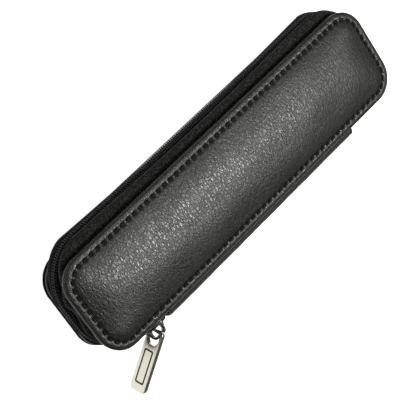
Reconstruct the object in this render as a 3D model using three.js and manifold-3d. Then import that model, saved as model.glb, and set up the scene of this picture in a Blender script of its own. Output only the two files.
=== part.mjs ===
// Fountain pen case: two padded leather covers joined by a leather spine along one long side, and
// closed round the other three sides by a coil zip whose slider carries a metal puller.
// Millimetres, +Z up. X runs along the case, the zip opens towards +Y, and the spine is at -Y.
// The origin is the centre of the flat patch that the back cover rests on.

import * as THREE from "three";
import { mergeVertices } from "three/addons/utils/BufferGeometryUtils.js";
import Module from "manifold-3d";

const wasm = await Module();
wasm.setup();

// ---- Overall sizes ----
const CASE_LENGTH = 155; // over the zip at both short ends
const CASE_THICKNESS = 22; // over the crowns of both covers
const CORNER_SEGMENTS = 8; // facets in each rounded corner

// ---- Cover, from its rim inwards; heights are above the case's middle plane ----
const COVER_WIDTH = 37.4;
const COVER_SETBACK = 1; // rim inside the zip's outer face at each short end
const COVER_CORNER_RADIUS = 10.1;
const CROWN_RISE = 2.2; // padding's crown, above the top of the stitched margin
const LEATHER = 1.1; // leather thickness
const LAYER_GAP = 0.1; // between pieces that lie on each other
const STITCH_INSET = 2.7; // thread line, in from the rim
const THREAD_WIDTH = 0.5;
const THREAD_HEIGHT = 0.35;
const POCKET_INSET = 4.7; // the leather's turned-under margin ends here
const CROWN_INSET = 14; // the flat top of the crown starts here
const BOARD = 0.8;
const LINING = 0.5;
const LINING_INSET = 1.2;

// ---- Zip ----
const ZIP_OVERHANG = 4.2; // the coil's outer face beyond the rim on the long zip side
const TAIL_OVERHANG = 1.7; // and on the spine side
const WELT_INSET = 0.3;
const WELT_WIDTH = 2.3;
const WELT_HEIGHT = 1.7;
const TAPE = 0.7;
const TAPE_INSET = 0.9; // tape edge, in from the cover's rim
const TAPE_EDGE = 0.6; // tape's free edge, above the middle plane
const COIL_THICKNESS = 1.7;
const COIL_WIDTH = 2.15;
const CHAIN_HALF_GAP = 0.15; // each coil stands this far from the middle plane
const CHAIN_CORNER_RADIUS = 17.7;
const TAIL_TUCK = 4; // length of each tail hidden under the spine's end
const CUT_GAP = 0.3;

// ---- Spine ----
const SPINE_BULGE = 3.2; // how far the strip arches outwards
const SPINE_OVERHANG = 0.7; // the strip's outer face beyond the rim, where it meets a cover
const SPINE_SEGMENTS = 12;
const SPINE_LINING_SETBACK = 1.8; // in from the rim
const SPINE_LINING_GAP = 0.2; // to the covers' linings

// ---- Pen loops: one elastic band sewn down in three places ----
const LOOP_BAND_WIDTH = 26;
const LOOP_BAND_CENTRE = 19;
const LOOP_INNER_WIDTH = 11.4;
const LOOP_INNER_HEIGHT = 12.4;
const LOOP_ELASTIC = 0.8;
const LOOP_FOOT = 1.5;
const LOOP_ARC_SEGMENTS = 14;
const SEAM_WIDTH = 0.9;
const SEAM_HEIGHT = 0.3;

// ---- Slider and puller ----
const SLIDER_LENGTH = 9;
const SLIDER_PARKING = 0.7; // from the slider's mouth to the spine's end
const SLIDER_WIDE_HALF = 4.4; // half-width at the mouth that faces the spine
const SLIDER_NARROW_HALF = 4;
const SLIDER_PLATE = 1.1;
const SLIDER_CLEARANCE = 0.35;
const SLIDER_FLANGE_INNER = 3.15;
const SLIDER_FLANGE_DEPTH = 1.45;
const SLIDER_INNER_PLATE = 0.9;
const SLIDER_INNER_HALF = 3.6;
const SLIDER_TRAVEL = 3;
const POST_HALF = 0.5;
const POST_START = -0.4; // along X from the slider's centre
const POST_LENGTH = 4.2;
const BAIL_LENGTH = 8.2;
const BAIL_WIDTH = 2;
const BAIL_HEIGHT = 5;
const BAIL_LEG_HEIGHT = 1.2;
const BAIL_EYE_LENGTH = 4;
const BAIL_EYE_HEIGHT = 3.3;
const PIVOT_HEIGHT = 2.75; // puller's pivot, above the slider's outer plate
const PULLER_LENGTH = 22.6; // pivot to the free end
const PULLER_WIDTH = 7.4;
const PULLER_THICKNESS = 1.6;
const PULLER_BAR = 1.2;
const PULLER_EYE_WIDTH = 5;
const PULLER_EYE_END = 5;
const PULLER_CORNER = 1.6;
const PULLER_LEAN = 24; // degrees that the hanging puller's bar leans out of upright
const PULLER_SWING = 43; // degrees from lying along the zip towards pointing straight out
const INLAY_START = 7;
const INLAY_LENGTH = 12.6;
const INLAY_WIDTH = 4.2;
const INLAY_LINE = 0.6;
const INLAY_DEPTH = 0.35;

// ---- Worked out from the sizes above ----
const MIDDLE = CASE_THICKNESS / 2;
const ZIP_SIDE = COVER_WIDTH / 2 + ZIP_OVERHANG; // centre line to the coil's outer face
const TAIL_SIDE = COVER_WIDTH / 2 + TAIL_OVERHANG;
const CHAIN = {
  halfLength: CASE_LENGTH / 2,
  low: -TAIL_SIDE,
  high: ZIP_SIDE,
  radius: CHAIN_CORNER_RADIUS,
};
const RIM = {
  halfLength: CASE_LENGTH / 2 - COVER_SETBACK,
  low: -COVER_WIDTH / 2,
  high: COVER_WIDTH / 2,
  radius: COVER_CORNER_RADIUS,
};
const RIM_HEIGHT = MIDDLE - CROWN_RISE; // top of the stitched margin
const MARGIN_UNDERSIDE = RIM_HEIGHT - LEATHER;
const LINING_TOP = MARGIN_UNDERSIDE - LAYER_GAP;
const LINING_FACE = LINING_TOP - LINING; // the cover's inner face
const WELT_TOP = LINING_FACE - LAYER_GAP;
const WELT_FOOT = WELT_TOP - WELT_HEIGHT;
const COIL_TOP = CHAIN_HALF_GAP + COIL_WIDTH;
const TAPE_BEHIND_COIL = COIL_THICKNESS + LAYER_GAP;
const POST_RELIEF = POST_HALF + CUT_GAP;
const TAIL_STRAIGHT_END = CASE_LENGTH / 2 - CHAIN_CORNER_RADIUS; // where the zip starts its corner
const TAIL_CUT = TAIL_STRAIGHT_END + SLIDER_TRAVEL + CUT_GAP; // the tails' outer ends, along X
const SPINE_LENGTH = 2 * (TAIL_STRAIGHT_END - SLIDER_LENGTH - SLIDER_PARKING);
const SPINE_HALF_HEIGHT = MARGIN_UNDERSIDE - LAYER_GAP;
const SPINE_EDGE_SIDE = COVER_WIDTH / 2 + SPINE_OVERHANG;
const SPINE_LINING_SIDE = COVER_WIDTH / 2 - SPINE_LINING_SETBACK;
const SLIDER_X = -SPINE_LENGTH / 2 - SLIDER_PARKING - SLIDER_LENGTH / 2;
const SLIDER_FACE = -TAIL_SIDE - SLIDER_CLEARANCE - SLIDER_PLATE; // y of the slider's outer face
const SLIDER_INNER_FACE = -TAIL_SIDE + TAPE_BEHIND_COIL + TAPE + 2 * CUT_GAP; // y, facing the tape

// ---- Materials ----
const finish = (color, roughness, metalness = 0) =>
  new THREE.MeshStandardMaterial({ color, roughness, metalness });
const leather = () => finish(0x1d1b19, 0.5);
const foam = () => finish(0x3a3a3c, 0.95);
const greyboard = () => finish(0x8f877a, 0.9);
const liningCloth = () => finish(0x202023, 0.85);
const tapeCloth = () => finish(0x131211, 0.9);
const nylon = () => finish(0x18181a, 0.45);
const thread = () => finish(0x0c0c0c, 0.7);
const gunmetal = () => finish(0x2c2c2e, 0.35, 0.9);
const nickel = () => finish(0xb7b2a6, 0.35, 0.95);
const enamel = () => finish(0x101010, 0.3);

// ---- Solids ----

// A rounded rectangle's points, counter-clockwise from its +X +Y corner, drawn in by inset.
function outline(shape, inset) {
  const radius = Math.max(shape.radius - inset, 0.5);
  const right = shape.halfLength - inset - radius;
  const top = shape.high - inset - radius;
  const bottom = shape.low + inset + radius;
  const corners = [
    [right, top],
    [-right, top],
    [-right, bottom],
    [right, bottom],
  ];
  return corners.flatMap(([x, y], corner) =>
    Array.from({ length: CORNER_SEGMENTS + 1 }, (_, step) => {
      const angle = (corner + step / CORNER_SEGMENTS) * (Math.PI / 2);
      return [x + radius * Math.cos(angle), y + radius * Math.sin(angle)];
    }),
  );
}

// Skins rings of equal point counts. Each ring is [shape, inset, height]. A band closes on its first
// ring; otherwise the first and last rings are capped.
function skin(rings, band) {
  const positions = [];
  const index = [];
  const count = 4 * (CORNER_SEGMENTS + 1);
  for (const [shape, inset, height] of rings)
    for (const [x, y] of outline(shape, inset)) positions.push(x, y, height);
  const last = band ? rings.length : rings.length - 1;
  for (let ring = 0; ring < last; ring += 1) {
    const here = ring * count;
    const above = ((ring + 1) % rings.length) * count;
    for (let i = 0; i < count; i += 1) {
      const j = (i + 1) % count;
      index.push(here + i, here + j, above + j, here + i, above + j, above + i);
    }
  }
  if (!band) {
    const top = (rings.length - 1) * count;
    for (const [start, height, flip] of [
      [0, rings[0][2], true],
      [top, rings.at(-1)[2], false],
    ]) {
      const centre = positions.length / 3;
      positions.push(0, 0, height);
      for (let i = 0; i < count; i += 1) {
        const [a, b] = [start + i, start + ((i + 1) % count)];
        index.push(centre, ...(flip ? [b, a] : [a, b]));
      }
    }
  }
  const geometry = new THREE.BufferGeometry();
  geometry.setAttribute("position", new THREE.Float32BufferAttribute(positions, 3));
  geometry.setIndex(index);
  return geometry;
}

// A flat plate between two heights, with the same outline all the way up.
const plate = (shape, inset, low, high) =>
  skin([[shape, inset, low], [shape, inset, high]], false);

// A rectangular ring, from outer inset to inner inset, between two heights.
const ringBand = (shape, outer, inner, low, high) =>
  skin([[shape, outer, low], [shape, outer, high], [shape, inner, high], [shape, inner, low]], true);

function toSolid(geometry) {
  const bare = geometry.index ? geometry.toNonIndexed() : geometry.clone();
  const onlyPositions = new THREE.BufferGeometry();
  onlyPositions.setAttribute("position", bare.getAttribute("position"));
  const merged = mergeVertices(onlyPositions, 1e-4);
  return new wasm.Manifold(
    new wasm.Mesh({
      numProp: 3,
      vertProperties: merged.attributes.position.array,
      triVerts: new Uint32Array(merged.index.array),
    }),
  );
}

function toGeometry(solid) {
  const mesh = solid.getMesh();
  const geometry = new THREE.BufferGeometry();
  geometry.setAttribute("position", new THREE.Float32BufferAttribute(mesh.vertProperties, 3));
  geometry.setIndex(new THREE.Uint32BufferAttribute(mesh.triVerts, 1));
  return geometry;
}

// A box between two corners.
function boxBetween([x0, y0, z0], [x1, y1, z1]) {
  const geometry = new THREE.BoxGeometry(x1 - x0, y1 - y0, z1 - z0);
  return geometry.translate((x0 + x1) / 2, (y0 + y1) / 2, (z0 + z1) / 2);
}

// An outline drawn in X and outward distance, extruded to a width centred on the middle plane.
function extrudeAcross(shape, width, curveSegments = 8) {
  const settings = { depth: width, bevelEnabled: false, curveSegments };
  return new THREE.ExtrudeGeometry(shape, settings).translate(0, 0, -width / 2);
}

// An outline drawn in X and Z, extruded along +Y from y = 0.
function extrudeInwards(shape, depth, curveSegments = 8) {
  const settings = { depth, bevelEnabled: false, curveSegments };
  return new THREE.ExtrudeGeometry(shape, settings).rotateX(-Math.PI / 2);
}

// A rectangle with its four corners rounded.
function roundedRectangle(x0, y0, x1, y1, radius) {
  const shape = new THREE.Shape();
  shape.moveTo(x0 + radius, y0);
  shape.lineTo(x1 - radius, y0);
  shape.absarc(x1 - radius, y0 + radius, radius, -Math.PI / 2, 0);
  shape.absarc(x1 - radius, y1 - radius, radius, 0, Math.PI / 2);
  shape.absarc(x0 + radius, y1 - radius, radius, Math.PI / 2, Math.PI);
  shape.absarc(x0 + radius, y0 + radius, radius, Math.PI, 1.5 * Math.PI);
  return shape;
}

function add(group, name, geometry, material) {
  const mesh = new THREE.Mesh(geometry, material);
  mesh.name = name;
  group.add(mesh);
  return mesh;
}

// ---- Cover: leather over foam over board, lined, in heights above the middle plane ----

const CROWN = MIDDLE;
// The crown's outer face, from the stitch valley to its flat top, as [inset, height].
const CROWN_OUTER = [
  [STITCH_INSET + 0.3, RIM_HEIGHT - 0.1],
  [POCKET_INSET, CROWN - 1.35],
  [POCKET_INSET + 1.8, CROWN - 0.75],
  [(POCKET_INSET + CROWN_INSET) / 2 + 1.2, CROWN - 0.15],
  [CROWN_INSET, CROWN],
];
// The same face seen from inside the leather, from the flat top out to the pocket's wall.
const CROWN_INNER = [
  [CROWN_INSET, CROWN - LEATHER],
  [(POCKET_INSET + CROWN_INSET) / 2 + 1.2, CROWN - LEATHER - 0.2],
  [POCKET_INSET + 1.8, CROWN - LEATHER - 0.7],
  [POCKET_INSET, CROWN - LEATHER - 1.15],
];

function coverLeather() {
  const inside = CROWN_INNER.map(([inset, height]) => [RIM, inset, height]);
  const margin = [
    [RIM, POCKET_INSET, MARGIN_UNDERSIDE],
    [RIM, 0.3, MARGIN_UNDERSIDE],
    [RIM, 0, MARGIN_UNDERSIDE + 0.4],
    [RIM, 0.4, RIM_HEIGHT],
    [RIM, STITCH_INSET - 0.4, RIM_HEIGHT - 0.1],
  ];
  const outside = CROWN_OUTER.map(([inset, height]) => [RIM, inset, height]);
  return skin([...inside, ...margin, ...outside], false);
}

function foamPad() {
  const boardTop = MARGIN_UNDERSIDE + BOARD;
  const top = CROWN_INNER.map(([inset, height]) => [RIM, inset + 0.4, height - LAYER_GAP]);
  top.reverse();
  return skin([[RIM, POCKET_INSET + 0.4, boardTop + LAYER_GAP], ...top], false);
}

const stiffenerBoard = () =>
  plate(RIM, POCKET_INSET + 0.3, MARGIN_UNDERSIDE, MARGIN_UNDERSIDE + BOARD);

const coverLining = () => plate(RIM, LINING_INSET, LINING_FACE, LINING_TOP);

const coverThread = () =>
  ringBand(
    RIM,
    STITCH_INSET - THREAD_WIDTH / 2,
    STITCH_INSET + THREAD_WIDTH / 2,
    RIM_HEIGHT,
    RIM_HEIGHT + THREAD_HEIGHT,
  );

// ---- Zip, as whole rings that the spine's stretch is then cut from ----

const weltRing = () =>
  skin(
    [
      [RIM, WELT_INSET + 0.4, WELT_FOOT],
      [RIM, WELT_INSET, WELT_FOOT + WELT_HEIGHT / 2],
      [RIM, WELT_INSET + 0.4, WELT_TOP],
      [RIM, WELT_INSET + WELT_WIDTH, WELT_TOP],
      [RIM, WELT_INSET + WELT_WIDTH, WELT_FOOT],
    ],
    true,
  );

const tapeRing = () =>
  skin(
    [
      [CHAIN, TAPE_BEHIND_COIL, TAPE_EDGE],
      [CHAIN, TAPE_BEHIND_COIL, COIL_TOP + 0.2],
      [RIM, TAPE_INSET, WELT_FOOT - LAYER_GAP],
      [RIM, TAPE_INSET + TAPE, WELT_FOOT - LAYER_GAP],
      [CHAIN, TAPE_BEHIND_COIL + TAPE, COIL_TOP + 0.2],
      [CHAIN, TAPE_BEHIND_COIL + TAPE, TAPE_EDGE],
    ],
    true,
  );

const coilRing = () =>
  skin(
    [
      [CHAIN, 0.3, CHAIN_HALF_GAP],
      [CHAIN, 0, CHAIN_HALF_GAP + 0.4],
      [CHAIN, 0, COIL_TOP - 0.5],
      [CHAIN, 0.5, COIL_TOP],
      [CHAIN, COIL_THICKNESS, COIL_TOP],
      [CHAIN, COIL_THICKNESS, CHAIN_HALF_GAP],
    ],
    true,
  );

// The space on the spine's side of the centre line, between two places along X.
const spineSide = (x0, x1) => boxBetween([x0, -CASE_LENGTH, -1], [x1, 0, MIDDLE]);

const withoutSpineSide = (ring, reach) =>
  toGeometry(toSolid(ring).subtract(toSolid(spineSide(-reach, reach))));

// One tail of a ring: side is -1 for the slider's end of the case and +1 for the other.
// At the slider's end the coils stand apart to let the slider's post between them.
function tail(ring, side) {
  const ends = [side * (SPINE_LENGTH / 2 - TAIL_TUCK), side * (TAIL_CUT - CUT_GAP)].sort((a, b) => a - b);
  const whole = toSolid(ring).intersect(toSolid(spineSide(...ends)));
  if (side > 0) return toGeometry(whole);
  const parted = SLIDER_X + POST_START - SLIDER_TRAVEL - CUT_GAP;
  const relief = boxBetween([parted, -CASE_LENGTH, -1], [0, 0, POST_RELIEF]);
  return toGeometry(whole.subtract(toSolid(relief)));
}

// ---- Assembly: each cover half is drawn upwards from the middle plane ----

const penCase = new THREE.Group();

function addHalf(prefix, direction) {
  const half = new THREE.Group();
  half.position.z = MIDDLE;
  half.scale.z = direction;
  add(half, `${prefix}_cover_leather`, coverLeather(), leather());
  add(half, `${prefix}_foam_pad`, foamPad(), foam());
  add(half, `${prefix}_stiffener_board`, stiffenerBoard(), greyboard());
  add(half, `${prefix}_lining`, coverLining(), liningCloth());
  add(half, `${prefix}_cover_thread`, coverThread(), thread());
  const weltReach = SPINE_LENGTH / 2 + 2 * CUT_GAP;
  add(half, `${prefix}_edge_welt`, withoutSpineSide(weltRing(), weltReach), leather());
  add(half, `${prefix}_zip_tape`, withoutSpineSide(tapeRing(), TAIL_CUT), tapeCloth());
  add(half, `${prefix}_zip_coil`, withoutSpineSide(coilRing(), TAIL_CUT), nylon());
  penCase.add(half);
}

function addTails(prefix, direction) {
  const tails = new THREE.Group();
  tails.position.z = MIDDLE;
  tails.scale.z = direction;
  for (const [place, side] of [["near", -1], ["far", 1]]) {
    add(tails, `${place}_tape_tail_${prefix}`, tail(tapeRing(), side), tapeCloth());
    add(tails, `${place}_coil_tail_${prefix}`, tail(coilRing(), side), nylon());
  }
  penCase.add(tails);
}

addHalf("back", -1);
addHalf("front", 1);
addTails("back", -1);
addTails("front", 1);

// ---- Spine: an arched leather strip with a flat lining strip inside it ----

function spineArch(side, height) {
  const rise = Math.sqrt(1 - (height / (SPINE_HALF_HEIGHT + 0.1)) ** 2);
  return side + SPINE_BULGE * rise;
}

function spineLeather() {
  const outer = [];
  const inner = [];
  for (let step = 0; step <= SPINE_SEGMENTS; step += 1) {
    const height = SPINE_HALF_HEIGHT * Math.sin((step / SPINE_SEGMENTS - 0.5) * Math.PI);
    outer.push([spineArch(SPINE_EDGE_SIDE, height), height]);
    inner.unshift([spineArch(SPINE_EDGE_SIDE - LEATHER, height), height]);
  }
  const section = new THREE.Shape([...outer, ...inner].map((p) => new THREE.Vector2(...p)));
  const settings = { depth: SPINE_LENGTH, bevelEnabled: false };
  const strip = new THREE.ExtrudeGeometry(section, settings).translate(0, 0, -SPINE_LENGTH / 2);
  // The section's outward distance, height and depth become -Y, Z and X.
  const turn = new THREE.Matrix4().makeBasis(
    new THREE.Vector3(0, -1, 0),
    new THREE.Vector3(0, 0, 1),
    new THREE.Vector3(-1, 0, 0),
  );
  return strip.applyMatrix4(turn);
}

const spine = new THREE.Group();
spine.position.z = MIDDLE;
add(spine, "spine_leather", spineLeather(), leather());
const liningEnd = SPINE_LENGTH / 2 - CUT_GAP;
const liningHalf = LINING_FACE - SPINE_LINING_GAP;
const spineLining = boxBetween(
  [-liningEnd, -SPINE_LINING_SIDE, -liningHalf],
  [liningEnd, -SPINE_LINING_SIDE + LINING, liningHalf],
);
add(spine, "spine_lining", spineLining, liningCloth());

// Stops clipped on the coils under the spine's ends: one on each coil where the slider parks when
// the case is shut, and one across both coils at the other end.
const STOP_START = SPINE_LENGTH / 2 - 1.6;
const STOP_LENGTH = 1.4;
const STOP_HEIGHT = 0.6;
const stopFace = -TAIL_SIDE - LAYER_GAP;

function stop(x0, low, high) {
  return boxBetween([x0, stopFace - STOP_HEIGHT, low], [x0 + STOP_LENGTH, stopFace, high]);
}

const nearStop = -STOP_START - STOP_LENGTH;
add(spine, "top_stop_front", stop(nearStop, POST_RELIEF, COIL_TOP), gunmetal());
add(spine, "top_stop_back", stop(nearStop, -COIL_TOP, -POST_RELIEF), gunmetal());
add(spine, "bottom_stop", stop(STOP_START, -COIL_TOP, COIL_TOP), gunmetal());
penCase.add(spine);

// ---- Pen loops ----

const loopPitch = LOOP_INNER_WIDTH + 2 * LOOP_ELASTIC + LOOP_FOOT;
const loopSpringing = LOOP_INNER_HEIGHT - LOOP_INNER_WIDTH / 2; // straight side below each arch

// Half-round arch points from +Y to -Y over one loop.
function loopArch(centre, halfWidth) {
  return Array.from({ length: LOOP_ARC_SEGMENTS + 1 }, (_, step) => {
    const angle = (step / LOOP_ARC_SEGMENTS) * Math.PI;
    return [centre + halfWidth * Math.cos(angle), loopSpringing + halfWidth * Math.sin(angle)];
  });
}

function loopBand() {
  const inner = LOOP_INNER_WIDTH / 2;
  const outer = inner + LOOP_ELASTIC;
  const end = loopPitch / 2 + outer + LOOP_FOOT;
  const upper = [];
  const lower = [];
  for (const centre of [loopPitch / 2, -loopPitch / 2]) {
    upper.push([centre + outer, LOOP_ELASTIC], ...loopArch(centre, outer));
    upper.push([centre - outer, LOOP_ELASTIC]);
    lower.push([centre + inner, 0], ...loopArch(centre, inner), [centre - inner, 0]);
  }
  const points = [[end, 0], [end, LOOP_ELASTIC], ...upper, [-end, LOOP_ELASTIC], [-end, 0]];
  const section = [...points, ...lower.reverse()].map((p) => new THREE.Vector2(...p));
  const settings = { depth: LOOP_BAND_WIDTH, bevelEnabled: false };
  const band = new THREE.ExtrudeGeometry(new THREE.Shape(section), settings);
  // The section's two directions become Y and Z, and its depth runs along X.
  const turn = new THREE.Matrix4().makeBasis(
    new THREE.Vector3(0, 1, 0),
    new THREE.Vector3(0, 0, 1),
    new THREE.Vector3(1, 0, 0),
  );
  return band.applyMatrix4(turn).translate(-LOOP_BAND_WIDTH / 2, 0, 0);
}

const loops = new THREE.Group();
loops.position.set(LOOP_BAND_CENTRE, 0, MIDDLE - LINING_FACE + LAYER_GAP);
add(loops, "pen_loop_band", loopBand(), tapeCloth());
const seamLength = LOOP_BAND_WIDTH - 2;
for (const [number, row] of [[1, -1], [2, 0], [3, 1]]) {
  const endFoot = loopPitch / 2 + LOOP_INNER_WIDTH / 2 + LOOP_ELASTIC + LOOP_FOOT / 2;
  const y = row * endFoot;
  const z = LOOP_ELASTIC + LAYER_GAP;
  const seam = boxBetween(
    [-seamLength / 2, y - SEAM_WIDTH / 2, z],
    [seamLength / 2, y + SEAM_WIDTH / 2, z + SEAM_HEIGHT],
  );
  add(loops, `pen_loop_seam_${number}`, seam, thread());
}
penCase.add(loops);

// ---- Slider: two plates joined by a post between the coils, with a bail riveted on the outside ----

function sliderPlate(wideHalf, narrowHalf, depth) {
  const end = SLIDER_LENGTH / 2;
  const round = 1.2;
  const shape = new THREE.Shape();
  shape.moveTo(-end + round, -narrowHalf);
  shape.lineTo(end - round, -wideHalf);
  shape.quadraticCurveTo(end, -wideHalf, end, -wideHalf + round);
  shape.lineTo(end, wideHalf - round);
  shape.quadraticCurveTo(end, wideHalf, end - round, wideHalf);
  shape.lineTo(-end + round, narrowHalf);
  shape.quadraticCurveTo(-end, narrowHalf, -end, narrowHalf - round);
  shape.lineTo(-end, -narrowHalf + round);
  shape.quadraticCurveTo(-end, -narrowHalf, -end + round, -narrowHalf);
  return extrudeInwards(shape, depth, 3);
}

function sliderBody() {
  const outerPlate = sliderPlate(SLIDER_WIDE_HALF, SLIDER_NARROW_HALF, SLIDER_PLATE);
  const innerPlate = sliderPlate(SLIDER_INNER_HALF, SLIDER_INNER_HALF, SLIDER_INNER_PLATE);
  const innerDepth = SLIDER_INNER_FACE - SLIDER_FACE;
  innerPlate.translate(0, innerDepth, 0);
  const post = boxBetween(
    [POST_START, SLIDER_PLATE / 2, -POST_HALF],
    [POST_START + POST_LENGTH, innerDepth + SLIDER_INNER_PLATE / 2, POST_HALF],
  );
  let body = toSolid(outerPlate).add(toSolid(innerPlate)).add(toSolid(post));
  const flangeEnd = SLIDER_LENGTH / 2 - 1;
  for (const side of [-1, 1]) {
    const edges = [side * SLIDER_FLANGE_INNER, side * SLIDER_NARROW_HALF].sort((a, b) => a - b);
    const flange = boxBetween(
      [-flangeEnd, SLIDER_PLATE / 2, edges[0]],
      [flangeEnd, SLIDER_PLATE + SLIDER_FLANGE_DEPTH, edges[1]],
    );
    body = body.add(toSolid(flange));
  }
  return toGeometry(body);
}

function sliderBail() {
  const leg = BAIL_LENGTH / 2;
  const shape = new THREE.Shape();
  shape.moveTo(-leg, 0);
  shape.lineTo(leg, 0);
  shape.lineTo(leg, BAIL_LEG_HEIGHT);
  shape.bezierCurveTo(leg, BAIL_HEIGHT - 1, leg / 2, BAIL_HEIGHT, 0, BAIL_HEIGHT);
  shape.bezierCurveTo(-leg / 2, BAIL_HEIGHT, -leg, BAIL_HEIGHT - 1, -leg, BAIL_LEG_HEIGHT);
  const [x, y] = [BAIL_EYE_LENGTH / 2, BAIL_EYE_HEIGHT / 2];
  shape.holes.push(roundedRectangle(-x, PIVOT_HEIGHT - y, x, PIVOT_HEIGHT + y, y - 0.1));
  // Turned so that the outline's heights point outwards, along -Y.
  return extrudeAcross(shape, BAIL_WIDTH, 5).rotateX(Math.PI);
}

const slider = new THREE.Group();
slider.position.set(SLIDER_X, SLIDER_FACE, MIDDLE);
add(slider, "slider_body", sliderBody(), gunmetal());
const bail = add(slider, "slider_bail", sliderBail(), gunmetal());
bail.position.y = -LAYER_GAP;

// ---- Puller: a flat plate with an eye, hung on the bail by its top bar, with an enamel frame ----

function pullerPlate() {
  const half = PULLER_WIDTH / 2;
  const shape = roundedRectangle(-PULLER_BAR / 2, -half, PULLER_LENGTH, half, PULLER_CORNER);
  const eyeHalf = PULLER_EYE_WIDTH / 2;
  shape.holes.push(roundedRectangle(PULLER_BAR / 2, -eyeHalf, PULLER_EYE_END, eyeHalf, 0.8));
  const body = extrudeInwards(shape, PULLER_THICKNESS, 4).translate(0, -PULLER_THICKNESS / 2, 0);
  const recess = inlayFrame(INLAY_DEPTH + LAYER_GAP, LAYER_GAP / 2);
  return toGeometry(toSolid(body).subtract(toSolid(recess)));
}

// A rectangular frame sunk in the plate's outer face, grown all round by the given clearance.
function inlayFrame(depth, clearance) {
  const end = INLAY_START + INLAY_LENGTH;
  const half = INLAY_WIDTH / 2;
  const line = INLAY_LINE + clearance;
  const outer = [INLAY_START - clearance, -half - clearance, end + clearance, half + clearance];
  const inner = [INLAY_START + line, -half + line, end - line, half - line];
  const shape = roundedRectangle(...outer, 0.7);
  shape.holes.push(roundedRectangle(...inner, 0.3));
  return extrudeInwards(shape, depth, 2).translate(0, -PULLER_THICKNESS / 2 - clearance, 0);
}

const puller = new THREE.Group();
puller.position.y = -PIVOT_HEIGHT;
puller.rotation.x = THREE.MathUtils.degToRad(PULLER_LEAN);
puller.rotation.z = THREE.MathUtils.degToRad(180 + PULLER_SWING);
add(puller, "puller_plate", pullerPlate(), nickel());
add(puller, "puller_inlay", inlayFrame(INLAY_DEPTH, 0), enamel());
slider.add(puller);
penCase.add(slider);

export default penCase;
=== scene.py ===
# %% [markdown]
# # A zip-around fountain pen case
# Two padded leather covers open like a book on a leather spine, and a coil zip closes the other
# three sides. The CAD frame holds the sizes, the hinge lines and the plain solids. This script
# lays the visible leather, cloth, nylon and metal over that frame, piece by piece.

# %% Load the frame
import math

import bmesh
import bpy
import numpy as np
from mathutils import Matrix, Vector


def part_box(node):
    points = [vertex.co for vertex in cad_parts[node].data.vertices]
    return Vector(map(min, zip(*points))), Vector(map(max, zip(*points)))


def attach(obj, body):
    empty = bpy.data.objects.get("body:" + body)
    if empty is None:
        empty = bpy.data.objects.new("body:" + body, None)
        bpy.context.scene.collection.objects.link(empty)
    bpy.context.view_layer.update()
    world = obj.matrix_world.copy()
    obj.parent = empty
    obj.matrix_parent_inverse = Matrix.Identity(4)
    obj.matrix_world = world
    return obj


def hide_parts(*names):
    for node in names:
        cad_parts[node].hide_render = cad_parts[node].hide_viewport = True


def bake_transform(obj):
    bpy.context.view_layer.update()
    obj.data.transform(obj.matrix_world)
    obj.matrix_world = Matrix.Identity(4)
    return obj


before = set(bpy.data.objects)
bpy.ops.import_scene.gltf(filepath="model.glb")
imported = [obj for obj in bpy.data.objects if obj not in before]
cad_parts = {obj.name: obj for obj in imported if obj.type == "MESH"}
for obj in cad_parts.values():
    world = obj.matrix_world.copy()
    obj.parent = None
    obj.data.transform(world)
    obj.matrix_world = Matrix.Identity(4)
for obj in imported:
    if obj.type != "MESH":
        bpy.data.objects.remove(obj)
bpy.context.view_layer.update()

MM = 0.001

# %% [markdown]
# The main sizes come from the boxes of the CAD nodes, and each smaller one is named beside its
# piece. Heights are measured from the case's middle plane, where the two coils meet, so one
# recipe makes both halves: the front half builds upwards from that plane and the back half
# downwards.

# %% Sizes taken from the frame, in millimetres


def node_box(name):
    low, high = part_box(name)
    return np.array(low) / MM, np.array(high) / MM


COVER_LOW, COVER_HIGH = node_box("front_cover_leather")
BACK_LOW = node_box("back_cover_leather")[0]
COIL_HIGH = node_box("front_zip_coil")[1]
TAIL_LOW, TAIL_HIGH = node_box("near_coil_tail_front")
LINING_LOW = node_box("front_lining")[0]
WELT_LOW, WELT_HIGH = node_box("front_edge_welt")
MIDDLE = (COVER_HIGH[2] + BACK_LOW[2]) / 2
CROWN = COVER_HIGH[2] - MIDDLE
CROWN_RISE = 2.2
RIM_HEIGHT = CROWN - CROWN_RISE
MARGIN_UNDERSIDE = COVER_LOW[2] - MIDDLE
LEATHER = RIM_HEIGHT - MARGIN_UNDERSIDE
RIM_X, RIM_Y = COVER_HIGH[:2]
RIM_RADIUS = 10.1
CHAIN_X, ZIP_SIDE = COIL_HIGH[:2]
TAIL_SIDE = -TAIL_LOW[1]
CHAIN_RADIUS = 17.7
SPINE_END = node_box("spine_leather")[1][0]
print("case in mm:", 2 * CHAIN_X, "long,", round(2 * CROWN, 1), "thick, middle at", MIDDLE)

# %% [markdown]
# ## Helpers for shapes
# A rounded rectangle seen from above gives the rim of a cover and the path of the zip. Each
# sample keeps its outward normal, because moving every sample along its own normal makes a
# true parallel outline: that is how margin, stitch line and welt stay evenly spaced.

# %% A rounded outline, evenly spaced, with its normals


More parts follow.
